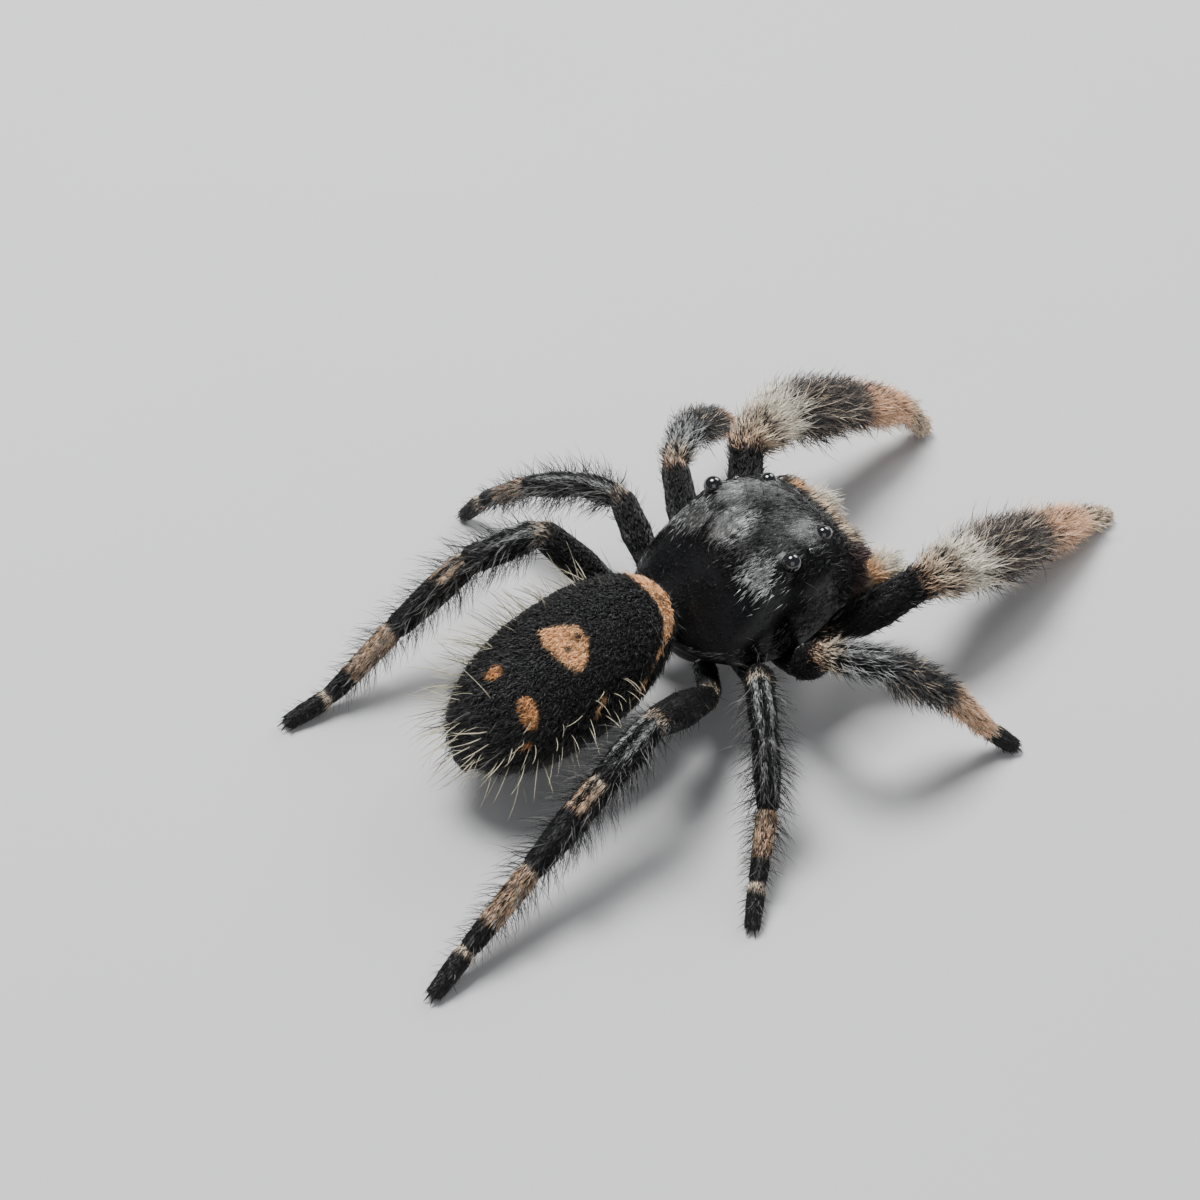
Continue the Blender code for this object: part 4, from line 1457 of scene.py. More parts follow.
        def fringe_share(u: Array, v: Array) -> Array:
            """Long hairs grow from the knee outwards, few of them on top of the hind legs.

            Args:
                u: places from end to end.
                v: places round.

            Returns:
                How densely each place is used.
            """
            place = self.segment(u)
            top = 1.0 if shaggy else 1.0 - 0.7 * soft_step(0.5, 0.9, np.sin(TURN * v))
            outer = 0.80 if shaggy else 0.55
            return (0.12 + soft_step(1.75, 2.2, place) * (1.0 - outer * soft_step(4.5, 5.2, place))) * top

        name = f"coat_leg_{self.number}_{self.side}"
        under = Growth(count=15000 if shaggy else 12500, length=short, lift=13, fall=4, width=0.027,
                       tone=flat_tone, share=beyond_hip, unruly=0.12)
        long = Growth(count=self.plan.fringe, length=shag, lift=52 if shaggy else 64,
                      fall=14 if shaggy else 30, width=0.030 if self.number == 1 else 0.020,
                      tone=long_tone, share=fringe_share, unruly=0.34, sway=0.2)
        return [(name, FINE_HAIR, under.grow(self.tube, draw).above(0.02)),
                (name + "_fringe", LONG_HAIR, long.grow(self.tube, draw).above(0.03))]

    def claws(self) -> list[tuple[Array, list[Array]]]:
        """Two small hooks at the tip of the foot, which part and bend down by the square of the way.

        Returns:
            Vertices and face arrays of each hook.
        """
        tip = self.tube.middle(np.array([self.length]))[0]
        along = unit((self.tube.path[-1] - self.tube.path[-2]) * (1, 1, 0.25))
        side = unit(np.cross(along, UP))
        length, apart, thick, rise, fall = self.hook
        share = np.linspace(0.0, 1.0, 9)[:, None]
        made = []
        for turn in (-1.0, 1.0):
            path = (tip + side * turn * (apart + apart * share) + along * length * share
                    + UP * (rise - fall * share ** 2))
            hook = Tube(path=path, stops=np.linspace(0, 0.25, 9), radii=thick * (1 - 0.8 * share[:, 0]),
                        flatten=1.0, floor=0.004)
            made.append(hook.shell(12, 8)[:2])
        return made


# Eyes


@dataclass(frozen=True)
class Eye:
    """One pair of eyes.

    Args:
        name: name of the solid without its side.
        radius: radius of the ball.
        centre: middle of the left one.
        facing: the way the left one looks.
        mound: how high the shell rises under it.
        spread: how far that mound spreads, in radii of the ball.
    """

    name: str
    radius: float
    centre: Triple
    facing: Triple
    mound: float
    spread: float


EYES = (Eye("eye_front_middle", 0.44, (4.98, 0.55, 3.62), (1.0, 0.0, 0.0), 0.02, 1.35),
        Eye("eye_front_side", 0.22, (4.42, 1.13, 4.54), (0.45, 0.55, 0.70), 0.04, 1.6),
        Eye("eye_middle_small", 0.09, (3.74, 1.52, 4.62), (0.1, 0.70, 0.70), 0.03, 2.0),
        Eye("eye_rear", 0.24, (3.12, 1.62, 4.62), (-0.1, 0.76, 0.65), 0.12, 1.35))


# Sub-assemblies


@dataclass
class Body:
    """Skin, coat and claws of the legs, feelers, waist and abdomen.

    Args:
        place: where the model stands.
        draw: seeded source of chance.
        abdomen: its shape.
        waist_path: middle line of the waist, from the chest to the abdomen.
        waist_radii: distances along it and the radii there.
        spinneret_root: forward, left and up of the middle between two, and how far they part.
        spinneret_ends: forward, how far they part, up, and radius.
    """

    place: Placement
    draw: np.random.Generator
    abdomen: AbdomenShape = field(default_factory=AbdomenShape)
    waist_path: tuple = ((1.35, 0, 1.95), (0.9, 0, 1.95), (0.2, 0, 2.05), (-0.25, -0.02, 2.45))
    waist_radii: tuple = ((0.0, 0.6, 1.9), (0.3, 0.22, 0.24))
    spinneret_root: tuple[float, ...] = (-4.72, -0.33, 1.34, 0.14)
    spinneret_ends: tuple = ((-5.28, 0.14, 1.22, 0.13), (-5.20, 0.12, 1.06, 0.11))

    def __post_init__(self) -> None:
        """Prepares the legs and feelers."""
        self.legs = [Leg(side, sign, number) for side, sign in SIDES for number in LEGS]
        self.palps = [Palp(side, sign) for side, sign in SIDES]

    def shells(self) -> list[tuple[str, Array, list[Array], Array]]:
        """Every closed shell that the skin is joined from, with a tone for each vertex.

        Returns:
            Name, vertices, face arrays and tones of each shell.
        """
        made = []
        for leg in self.legs:
            points, faces, u = leg.tube.shell(150, 22)
            made.append((f"leg_{leg.number}_{leg.side}", points, faces, leg.skin_tone(u)))
        for palp in self.palps:
            points, faces, u = palp.tube.shell(60, 20)
            made.append((f"palp_{palp.side}", points, faces, palp.tone(u)))
        points, faces, _ = self.abdomen.shell(90, 72)
        made.append(("abdomen", points, faces, abdomen_tone(points)))
        for name, tube, rows, sides in self.black_tubes():
            points, faces, _ = tube.shell(rows, sides)
            made.append((name, points, faces, np.broadcast_to(BLACK.array(), points.shape)))
        return made

    def black_tubes(self) -> list[tuple[str, Tube, int, int]]:
        """Draws the waist and the four spinnerets.

        Returns:
            Name, tube, rows and sides of each.
        """
        waist = Tube(np.array(self.waist_path), *map(np.array, self.waist_radii), flatten=1.0)
        made = [("waist", waist, 24, 16)]
        forward, left, up, apart = self.spinneret_root
        for k, (back, spread, height, size) in enumerate(self.spinneret_ends):
            for side, sign in SIDES:
                start = np.array((forward, left + sign * apart, up))
                end = np.array((back, self.abdomen.rear[1] + sign * spread, height))
                path = np.array((start, 0.5 * (start + end), end))
                tube = Tube(path, np.array((0.0, 0.35, 0.7)), np.array((0.16, size, size * 0.6)), flatten=1.0)
                made.append((f"spinneret_{k}_{side}", tube, 14, 12))
        return made

    def skin(self) -> bpy.types.Object:
        """Joins all shells to the chest, as one surface with no seam.

        Returns:
            The skin, replacing the solids that it covers.
        """
        points, faces, _ = CHEST.shell(36, 40)
        black = np.broadcast_to(BLACK.array(), points.shape)
        skin = make_object("skin", points, faces, self.place, black)
        tools = bpy.data.collections.new("skin_parts")
        bpy.context.scene.collection.children.link(tools)
        for name, points, faces, tone in self.shells():
            part = make_object(name, points, faces, self.place, tone)
            bpy.context.scene.collection.objects.unlink(part)
            tools.objects.link(part)
        change = skin.modifiers.new("join", "BOOLEAN")
        change.operation, change.solver = "UNION", "MANIFOLD"
        change.operand_type, change.collection = "COLLECTION", tools
        graph = bpy.context.evaluated_depsgraph_get()
        joined = bpy.data.meshes.new_from_object(skin.evaluated_get(graph))
        skin.modifiers.clear()
        skin.data = joined
        for part in list(tools.objects):
            bpy.data.objects.remove(part, do_unlink=True)
        bpy.data.collections.remove(tools)
        joined.shade_smooth()
        LOG.info("skin: %d faces", len(joined.polygons))
        return skin

    def dress(self) -> list[bpy.types.Object]:
        """Builds and finishes the skin, the coat and the claws.

        Returns:
            The pieces.
        """
        skin = self.skin()
        skin.data.materials.clear()
        skin.data.materials.append(SkinFinish().make())
        covered = [f"leg_{leg.number}_{leg.side}_{part}" for leg in self.legs
                   for part in ("coxa", "femur", "patella_tibia", "metatarsus_tarsus")]
        covered += ["palp_left", "palp_right", "abdomen", "pedicel", "spinnerets"]
        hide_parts(*covered)
        coat = LEG_HAIR.make()
        pieces = [skin]
        for limb in (*self.legs, *self.palps):
            for name, builder, hairs in limb.coats(self.draw):
                piece = builder.build(name, hairs, self.place)
                piece.data.materials.append(coat)
                pieces.append(piece)
        velvet = ABDOMEN_HAIR.make()
        for name, builder, hairs in self.abdomen_coats():
            piece = builder.build(name, hairs, self.place)
            piece.data.materials.append(velvet)
            pieces.append(piece)
        pieces.append(self.claws())
        return pieces

    def abdomen_coats(self) -> Coats:
        """Grows the velvet, the flank hair and the pale bristles of the abdomen.

        Returns:
            Name, builder and hairs of each piece.
        """
        def velvet_length(u: Array, v: Array, out: Array) -> Array:
            """Short on top and longer to the rear and sides."""
            return 0.17 + 0.16 * soft_step(0.40, 0.0, u) + 0.12 * soft_step(0.5, -0.2, out[:, 2])

        def marked(u: Array, v: Array, seen: Array, out: Array) -> Array:
            """The markings of the abdomen, with dark grey strands among the black: partly real grey hair,
            partly painted glints on the glossy velvet.
            """
            # Painted glints: a share of the black velvet hairs turn dark grey.
            grey_strand = (self.draw.random(len(u)) < 0.30)[:, None] * (SOOT.array() - BLACK.array())
            return abdomen_tone(seen) + grey_strand

        def upper(u: Array, v: Array) -> Array:
            """The half that faces up."""
            return (np.sin(TURN * v) > -0.12).astype(float)

        def bristle_share(u: Array, v: Array) -> Array:
            """Bristles crowd to the rear and the flanks, those of the left flank more.

            Args:
                u: places from end to end.
                v: places round.

            Returns:
                How densely each place is used.
            """
            sine, left = np.sin(TURN * v), np.cos(TURN * v)
            top = soft_step(0.5, 0.95, sine) * soft_step(0.1, 0.3, u)
            rear = soft_step(0.36, 0.02, u) * (1.0 - 0.7 * top)
            edge = soft_step(0.22, -0.12, sine - 0.62 - 0.30 * left)
            flank = edge * soft_step(0.76 + 0.06 * left, 0.56, u) * soft_step(-0.5, 0.0, sine)
            return 0.012 + 0.46 * rear + (0.50 + 0.25 * left) * flank

        def bristle_length(u: Array, v: Array, out: Array) -> Array:
            """Longest at the rear."""
            return 0.70 + 0.30 * soft_step(0.6, 0.05, u) + 0.16 * np.maximum(out[:, 1], 0.0)

        def straw(u: Array, v: Array, seen: Array, out: Array) -> Array:
            """Straw, about one in six of them grey."""
            grey = self.draw.random(len(u)) < 0.18
            return np.where(grey[:, None], GREY.array() * 1.4, STRAW.array())

        def dim(u: Array, v: Array, seen: Array, out: Array) -> Array:
            """Soot, a third of them grey."""
            grey = self.draw.random(len(u)) < 0.35
            return np.where(grey[:, None], GREY.array() * 0.8, SOOT.array() * 0.6)

        def stray_share(u: Array, v: Array) -> Array:
            """Everywhere, most to the rear and on the flanks."""
            sine = np.sin(TURN * v)
            return 0.30 + soft_step(0.5, 0.05, u) + soft_step(0.7, 0.1, sine) * soft_step(-0.8, -0.3, sine)

        def stray_length(u: Array, v: Array, out: Array) -> Array:
            """Longer to the rear."""
            return 0.34 + 0.20 * soft_step(0.5, 0.0, u)

        top = Growth(count=18500, length=velvet_length, lift=34, fall=12, width=0.030, tone=marked,
                     share=upper, backward=True, droop=0.15, unruly=0.42, sway=0.30)
        low = Growth(count=13000, length=velvet_length, lift=24, fall=10, width=0.034, tone=marked,
                     share=lambda u, v: 1 - upper(u, v), backward=True, unruly=0.3, sway=0.2)
        stray = Growth(count=1700, length=stray_length, lift=52, fall=26, width=0.017, tone=dim,
                       share=stray_share, backward=True, droop=0.10, unruly=0.45, sway=0.30)
        bristles = Growth(count=340, length=bristle_length, lift=78, fall=56, width=0.027, tone=straw,
                          share=bristle_share, backward=True, droop=0.06, unruly=0.36, sway=0.24)
        return [("coat_abdomen_top", SHORT_HAIR, top.grow(self.abdomen, self.draw)),
                ("coat_abdomen_low", FINE_HAIR, low.grow(self.abdomen, self.draw)),
                ("coat_abdomen_stray", LONG_HAIR, stray.grow(self.abdomen, self.draw)),
                ("coat_abdomen_bristles", BRISTLE, bristles.grow(self.abdomen, self.draw))]

    def claws(self) -> bpy.types.Object:
        """Builds all the claws as one piece.

        Returns:
            The piece.
        """
        hooks = [hook for leg in self.legs for hook in leg.claws()]
        start = np.cumsum([0] + [len(points) for points, _ in hooks])
        points = np.concatenate([points for points, _ in hooks])
        faces = [group + offset for (_, groups), offset in zip(hooks, start) for group in groups]
        piece = make_object("claws", points, faces, self.place)
        piece.data.materials.append(ClawFinish().make())
        return piece


@dataclass
class Palp:
    """One feeler beside the jaws: its tube and its pale hair.

    Args:
        side: left or right.
        sign: 1 for the left side and -1 for the right.
    """

    side: str
    sign: float
    joints: tuple = ((4.05, 0.80, 1.72), (4.86, 1.17, 1.62), (5.62, 1.34, 2.52), (6.12, 1.38, 2.86),
                     (6.50, 1.32, 2.56), (6.66, 1.12, 1.46))
    radii: tuple[float, ...] = (0.20, 0.22, 0.24, 0.27, 0.28, 0.20)
    rounding: float = 0.22
    knee_radius: float = 0.3

    def __post_init__(self) -> None:
        """Works out the path and the tube."""
        joints = mirrored(self.joints, self.sign)
        path = rounded_path(joints, self.rounding, self.knee_radius)
        corners = distances(joints)
        self.tube = Tube(path, corners * stretches(path).sum() / corners[-1], np.array(self.radii))

    def tone(self, u: Array) -> Array:
        """Dark at the root, cream and orange on the upper part, brown to the tip."""
        return banded(u, ((0.0, BLACK), (0.42, BROWN), (0.50, CREAM), (0.57, PEACH),
                          (0.63, WHITE), (0.82, WHITE), (0.90, BROWN), (1.0, BLACK)))

    def coats(self, draw: np.random.Generator) -> Coats:
        """Grows the undercoat and the tufts.

        Args:
            draw: seeded source of chance.

        Returns:
            Name, builder and hairs of each piece.
        """
        def tone(u: Array, v: Array, seen: Array, out: Array) -> Array:
            """The bands of the feeler."""
            return self.tone(u)

        def tuft(u: Array, v: Array, out: Array) -> Array:
            """Longest on the upper part."""
            return 0.16 + 0.32 * np.exp(-((u - 0.66) / 0.17) ** 2)

        under = Growth(count=5600, length=lambda u, v, out: 0.5 * tuft(u, v, out), lift=24, fall=8,
                       width=0.028, tone=tone)
        long = Growth(count=1400, length=tuft, lift=46, fall=18, width=0.028, tone=tone, unruly=0.35)
        return [(f"coat_palp_{self.side}", FINE_HAIR, under.grow(self.tube, draw).above(0.05)),
                (f"coat_palp_{self.side}_tuft", LONG_HAIR, long.grow(self.tube, draw).above(0.05))]


# Markings of the abdomen


PATCHES = (((-2.78, 0.12), (-2.42, -0.08), (-2.06, -0.36), (-2.00, -0.80), (-2.30, -1.18), (-2.52, -1.30),
            (-2.70, -1.16), (-2.86, -0.78), (-2.92, -0.34)),
           ((-4.20, 0.10), (-4.00, 0.14), (-3.88, -0.02), (-3.94, -0.20), (-4.12, -0.22), (-4.24, -0.08)),
           ((-4.08, -1.10), (-3.98, -1.02), (-3.80, -1.06), (-3.72, -1.28), (-3.78, -1.50), (-3.90, -1.58),
            (-4.02, -1.52), (-4.10, -1.34)))
DOTS = (((-2.20, -0.60), 0.085), ((-2.52, -0.77), 0.085))
STREAKS = (((-0.30, 1.42, 3.10, 0.06), (0.02, 1.12, 3.58, 0.14), (0.22, 0.72, 3.90, 0.26),
            (0.30, 0.20, 4.04, 0.35), (0.32, -0.30, 3.88, 0.34), (0.17, -0.84, 3.60, 0.23),
            (-0.15, -1.22, 3.40, 0.10), (-0.60, -1.52, 3.18, 0.035), (-0.82, -1.61, 3.02, 0.03)),
           ((-1.00, -1.66, 2.90, 0.05), (-1.42, -1.78, 2.58, 0.03)),
           ((-2.20, -1.80, 3.05, 0.07), (-2.73, -2.05, 2.42, 0.03)),
           ((-2.98, -2.00, 2.40, 0.05), (-3.24, -1.92, 2.10, 0.03)),
           ((-2.27, 0.84, 3.90, 0.05), (-2.45, 1.10, 3.70, 0.04)),
           ((-4.10, -1.70, 2.46, 0.06), (-4.26, -1.58, 2.40, 0.05)))


def abdomen_tone(points: Array) -> Array:
    """Black, with patches on the upper half and streaks along lines in space, paler to the front.

    A patch is an outline seen from above, as (forward, left), and the first has dark dots in it. A
    streak is a line of (forward, left, up, half width).

    Args:
        points: places on the abdomen, in millimetres.

    Returns:
        A colour for each place.
    """
    upper = soft_step(-0.4, 0.4, points[:, 2] - 2.2 - 0.17 * (points[:, 0] + 4.0))
    first, *others = (soft_step(0.035, -0.02, outline_distance(points[:, :2], np.array(patch)))
                      for patch in PATCHES)
    for spot, radius in DOTS:
        away = np.linalg.norm(points[:, :2] - spot, axis=1) / radius
        first = first * (1.0 - 0.95 * soft_step(1.15, 0.75, away))
    mask = np.max([first, *others], axis=0) * upper
    for line in STREAKS:
        mask = np.maximum(mask, soft_step(0.03, -0.02, line_distance(points, np.array(line))))
    light = np.clip((points[:, 0] + 4.2) / 1.6, 0.0, 1.0)
    return mixed(BLACK.array(), mixed(ORANGE.array(), PEACH.array() * 1.08, light), mask)


def outline_distance(points: Array, outline: Array) -> Array:
    """Distance from points to a convex outline: below zero inside, the greatest over its sides.

    Args:
        points: points in millimetres.
        outline: corners in order, as (forward, left).

    Returns:
        The distances.
    """
    most = np.full(len(points), -np.inf)
    for start, end in zip(outline, np.roll(outline, -1, axis=0)):
        way = unit(end - start)
        most = np.maximum(most, (points - start) @ np.array((-way[1], way[0])))
    return most


def line_distance(points: Array, line: Array) -> Array:
    """Distance from points to a line with a width: the least over its stretches, less the half width.

    Args:
        points: points in millimetres.
        line: points as (forward, left, up, half width).

    Returns:
        The distances, below zero within the width.
    """
    least = np.full(len(points), np.inf)
    for start, end in zip(line, line[1:]):
        way = end[:3] - start[:3]
        share = np.clip((points - start[:3]) @ way / (way @ way), 0.0, 1.0)
        away = np.linalg.norm(points - start[:3] - share[:, None] * way, axis=1)
        least = np.minimum(least, away - start[3] - (end[3] - start[3]) * share)
    return least


# Head


# Patches of silver scale hair on the head shield, each with the strength of its painted highlight.
SILVER_HAIR_HIGHLIGHTS = (((2.80, 0.15), (0.30, 0.27), 1.90, 3.0), ((3.32, 1.15), (0.22, 0.28), 0.90, 2.3),
         ((4.05, 0.10), (0.70, 0.70), 0.30, 0.6), ((2.38, -1.38), (0.28, 0.32), 0.70, 2.3),
         ((4.05, -0.95), (0.30, 0.26), 0.90, 1.5), ((2.38, 1.38), (0.30, 0.36), 0.90, 1.2),
         ((4.05, 0.95), (0.30, 0.26), 0.70, 1.1), ((3.32, -1.15), (0.22, 0.28), 0.20, 0.7),
         ((3.30, -0.20), (0.90, 1.00), 0.14, 0.45))


@dataclass
class Head:
    """Head shield, eyes, jaws, fangs and the hair of the face.

    Args:
        place: where the model stands.
        draw: seeded source of chance.
        shell: shape of the shield.
        fang_joints: corners of the left fang's middle line.
        fang_radii: distances along it and the radii there.
    """

    place: Placement
    draw: np.random.Generator
    shell: HeadShell = field(default_factory=HeadShell)
    fang_joints: tuple = ((5.30, 0.56, 1.42), (5.36, 0.64, 0.96), (5.20, 0.34, 0.84), (5.02, 0.10, 0.90))
    fang_radii: tuple = ((0.0, 0.5, 0.8, 1.1), (0.15, 0.14, 0.09, 0.03))

    def dress(self) -> list[bpy.types.Object]:
        """Builds and finishes every piece of the head.

        Returns:
            The pieces.
        """
        points, faces, _ = self.shell.shell(150, 128)
        shield = make_object("head_shield", points, faces, self.place)
        shield.data.materials.append(HEAD_SHELL.make())
        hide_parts("carapace")
        pieces = [shield, *self.eyes(), *self.jaws()]
        coat = HEAD_HAIR.make()
        for name, builder, hairs in self.coats():
            piece = builder.build(name, hairs, self.place)
            piece.data.materials.append(coat)
            pieces.append(piece)
        return pieces

    def eyes(self) -> list[bpy.types.Object]:
        """Builds the eight eyes.

        Returns:
            The pieces.
        """
        lens = EyeFinish().make()
        pieces = []
        for eye in EYES:
            for side, sign in SIDES:
                points, faces, _ = Ellipsoid(mirrored(eye.centre, sign), (eye.radius,) * 3).shell(30, 40)
                piece = make_object(f"{eye.name}_{side}_lens", points, faces, self.place)
                piece.data.materials.append(lens)
                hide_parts(f"{eye.name}_{side}")
                pieces.append(piece)
        return pieces

    def jaws(self) -> list[bpy.types.Object]:
        """Builds the two jaws with their fangs.

        Returns:
            The pieces.
        """
        finish = JAW_SHELL.make()
        pieces = []
        for side, sign in SIDES:
            points, faces, _ = JawShape(sign).shell(44, 36)
            jaw = make_object(f"jaw_{side}", points, faces, self.place)
            path = rounded_path(mirrored(self.fang_joints, sign), rounding=0.2, girth=0.1)
            fang = Tube(path, *map(np.array, self.fang_radii), flatten=1.0)
            points, faces, _ = fang.shell(24, 16)
            tooth = make_object(f"fang_{side}_point", points, faces, self.place)
            for thing, node in ((jaw, f"chelicera_{side}"), (tooth, f"fang_{side}")):
                thing.data.materials.append(finish)
                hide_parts(node)
                pieces.append(thing)
        return pieces

    def coats(self) -> Coats:
        """Grows the hair of the shield, its margin, the brow, and the hair round and under the eyes.

        Returns:
            Name, builder and hairs of each piece.
        """
        shell = self.shell

        def clear(u: Array, v: Array) -> Array:
            """Leaves the eyes bare, and most of what lies low, but for the sides of the face.

            Args:
                u: places from end to end.
                v: places round.

            Returns:
                How densely each place is used.
            """
            points = shell.at(u, v)
            bare = np.ones(len(u))
            for eye in EYES:
                for _, sign in SIDES:
                    away = np.linalg.norm(points - mirrored(eye.centre, sign), axis=1)
                    bare = bare * (away > eye.radius * 1.22 + 0.03)
            high = 0.07 + 0.93 * soft_step(4.0, 4.6, points[:, 2])
            face = 0.7 * soft_step(3.9, 4.6, points[:, 0]) + 0.3 * soft_step(4.9, 5.15, points[:, 0])
            face = face * (points[:, 2] > 2.9)
            return bare * np.where(np.sin(TURN * v) > 0.0, np.maximum(high, face), face)

        def silver_highlight(points: Array) -> tuple[Array, Array]:
            """Share of silver hairs at some points, and their brightness: silver scale hair with a painted
            highlight that fades out below the top of the shield.

            A row of SILVER_HAIR_HIGHLIGHTS is a patch: its middle as (forward, left), its reach along and
            across, how many silver hairs grow there, and how bright their painted highlight is.

            Args:
                points: points in millimetres.

            Returns:
                The shares and the brightness.
            """
            share, highlight_strength = np.full(len(points), 1e-3), np.full(len(points), 1e-3)
            for (forward, left), (long, wide), most, light in SILVER_HAIR_HIGHLIGHTS:
                away = ((points[:, 0] - forward) / long) ** 2 + ((points[:, 1] - left) / wide) ** 2
                near = most * np.exp(-away)
                share, highlight_strength = share + near, highlight_strength + near * light
            return share * soft_step(3.2, 3.9, points[:, 2]), highlight_strength / share

        def shield_tone(u: Array, v: Array, seen: Array, out: Array) -> Array:
            """Black, with dim silver hairs among the bright ones, crowded into the painted highlight patches
            on top.
            """
            pale = self.draw.random(len(u)) < 0.4 * silver_highlight(seen)[0]
            return np.where(pale[:, None], GREY.array() * 1.5, BLACK.array())

        def silver_highlight_share(u: Array, v: Array) -> Array:
            """Where the bright silver hairs of the painted highlight grow."""
            return silver_highlight(shell.at(u, v))[0] * clear(u, v)

        def silver_highlight_tone(u: Array, v: Array, seen: Array, out: Array) -> Array:
            """Silver, brightened more in some patches than in others as painted highlight."""
            highlight_strength = silver_highlight(seen)[1] * (0.30 + 0.70 * self.draw.random(len(u)))
            return SILVER.array() * highlight_strength[:, None]

        def margin(u: Array, v: Array) -> Array:
            """A line of hairs just over the rim."""
            sine = np.sin(TURN * v)
            return ((sine > 0.0) & (sine < 0.22)) * soft_step(0.75, 0.6, u)

        def margin_tone(u: Array, v: Array, seen: Array, out: Array) -> Array:
            """Faint grey."""
            return np.broadcast_to(GREY.array() * 0.8, seen.shape)

        short = Growth(count=20500, length=even(0.13), lift=15, fall=5, width=0.021, tone=shield_tone,
                       share=clear, backward=True, droop=0.1, unruly=0.35)
        # Painted highlight: bright silver hairs lie flat in the silver patches on top of the shield.
        silver_highlight_hair = Growth(count=7500, length=even(0.24), lift=11, fall=3, width=0.024, tone=silver_highlight_tone,
                       share=silver_highlight_share, backward=True, droop=0.1, unruly=0.22)
        rim = Growth(count=800, length=even(0.16), lift=30, fall=10, width=0.022, tone=margin_tone,
                     share=margin, backward=True)
        tall = Growth(count=260, length=even(0.34), lift=62, fall=35, width=0.018, tone=margin_tone,
                      share=clear, unruly=0.5, sway=0.3)
        coat = [growth.grow(shell, self.draw) for growth in (short, silver_highlight_hair, rim, tall)]
        face = [self.brow(), self.cheeks(), self.clypeus(), *[self.jaw_hair(sign) for _, sign in SIDES]]
        return [("coat_head", FINE_HAIR, Hairs.joined(coat)), ("brow_fringe", LONG_HAIR, Hairs.joined(face))]

    def band(self, count: int, line: Callable[[Array], Array], out: Sequence[float], lie: Sequence[float],
             splay: float, length: float, lift: float, fall: float, tones: Sequence[tuple[float, Tone]],
             dark: float, row: float, depth: float = 0.05) -> Hairs:
        """Grows a band of hairs across the face.

        Args:
            count: how many hairs.
            line: points of the roots for places from -1 at the right to 1 at the left.
            out: the way the skin faces.
            lie: the way the hairs point.
            splay: how much they turn outwards to each side.
            length: their length.
            lift: degrees off the skin at the root.
            fall: degrees off the skin at the tip.
            tones: colours from -1 to 1.
            dark: share of dark hairs among them.
            row: where this band lies on the unwrap, from 0 to 1.
            depth: how far the roots stray from the line.

        Returns:
            The hairs.
        """
        draw = self.draw
        spot = draw.uniform(-1.0, 1.0, count)
        root = line(spot) + draw.normal(0.0, depth, (count, 3))
        outward = unit(out + draw.normal(0, 0.12, (count, 3)))
        along = lie + draw.normal(0, 0.14, (count, 3))
        along[:, 1] += splay * spot
        along = unit(along - (along * outward).sum(axis=1, keepdims=True) * outward)
        colour = banded(spot, tones) * factors(draw, 0.14, 0.5, 1.4, (count, 1))
        colour = np.where((draw.random(count) < dark)[:, None], BLACK.array(), colour)
        chart = np.stack([0.05 + 0.45 * (spot + 1.0), np.full(count, 0.05 + 0.9 * row)], axis=-1)
        wobble = factors(draw, 0.25, 0.4, 1.8, count)
        return Hairs(root, outward, along, length * factors(draw, 0.18, 0.5, 1.5, count),
                     np.full(count, 0.030), lift * wobble, fall * wobble, colour, chart,
                     draw.normal(0.0, 0.10, count))

    def brow(self) -> Hairs:
        """Peach and cream fringe over the front eyes, reaching forward and dipping at its tips.

        Returns:
            The hairs.
        """
        def line(spot: Array) -> Array:
            """Roots along the upper edge of the face, in a flat arch with a slight wave."""
            height = 4.09 - 0.26 * spot ** 2 + 0.05 * np.cos(9 * spot)
            return np.stack([5.12 + 0.03 * spot ** 2, 1.60 * spot, height], axis=-1)

        tones = ((-1.0, PURPLE), (-0.84, BROWN), (-0.72, CREAM), (0.30, CREAM),
                 (0.62, PEACH), (0.84, CREAM), (1.0, BROWN))
        pale = self.band(count=2300, line=line, out=(0.45, 0, 1.0), lie=(1.0, 0, -0.36), splay=0.24,
                         length=0.44, lift=26, fall=2, tones=tones, dark=0.04, row=0.15)

        def edge(spot: Array) -> Array:
            """Roots along the front edge of the shield's top."""
            return np.stack([4.98 - 0.14 * spot ** 2, 1.42 * spot, 4.22 - 0.22 * spot ** 2], axis=-1)

        tones = ((-1.0, SOOT), (-0.3, GREY), (0.3, GREY), (1.0, SOOT))
        dim = self.band(count=900, line=edge, out=(0.35, 0, 1.0), lie=(1.0, 0, -0.45), splay=0.22,
                        length=0.26, lift=28, fall=4, tones=tones, dark=0.30, row=0.30)
        return Hairs.joined([pale, dim])

    def cheeks(self) -> Hairs:
        """Dark purple-brown hair at the sides of the face, below and beside the front eyes.

        Returns:
            The hairs.
        """
        def line(spot: Array) -> Array:
            """Roots down the corners of the face."""
            drop, side = np.abs(spot), np.sign(spot)
            return np.stack([5.06 - 0.06 * drop, side * (1.40 + 0.14 * drop), 4.00 - 0.95 * drop], axis=-1)

        tones = ((-1.0, PURPLE), (0.0, BROWN), (1.0, PURPLE))
        return self.band(count=2000, line=line, out=(0.9, 0, 0.35), lie=(0.55, 0, -0.85), splay=0.55,
                         length=0.48, lift=52, fall=14, tones=tones, dark=0.20, row=0.50, depth=0.09)

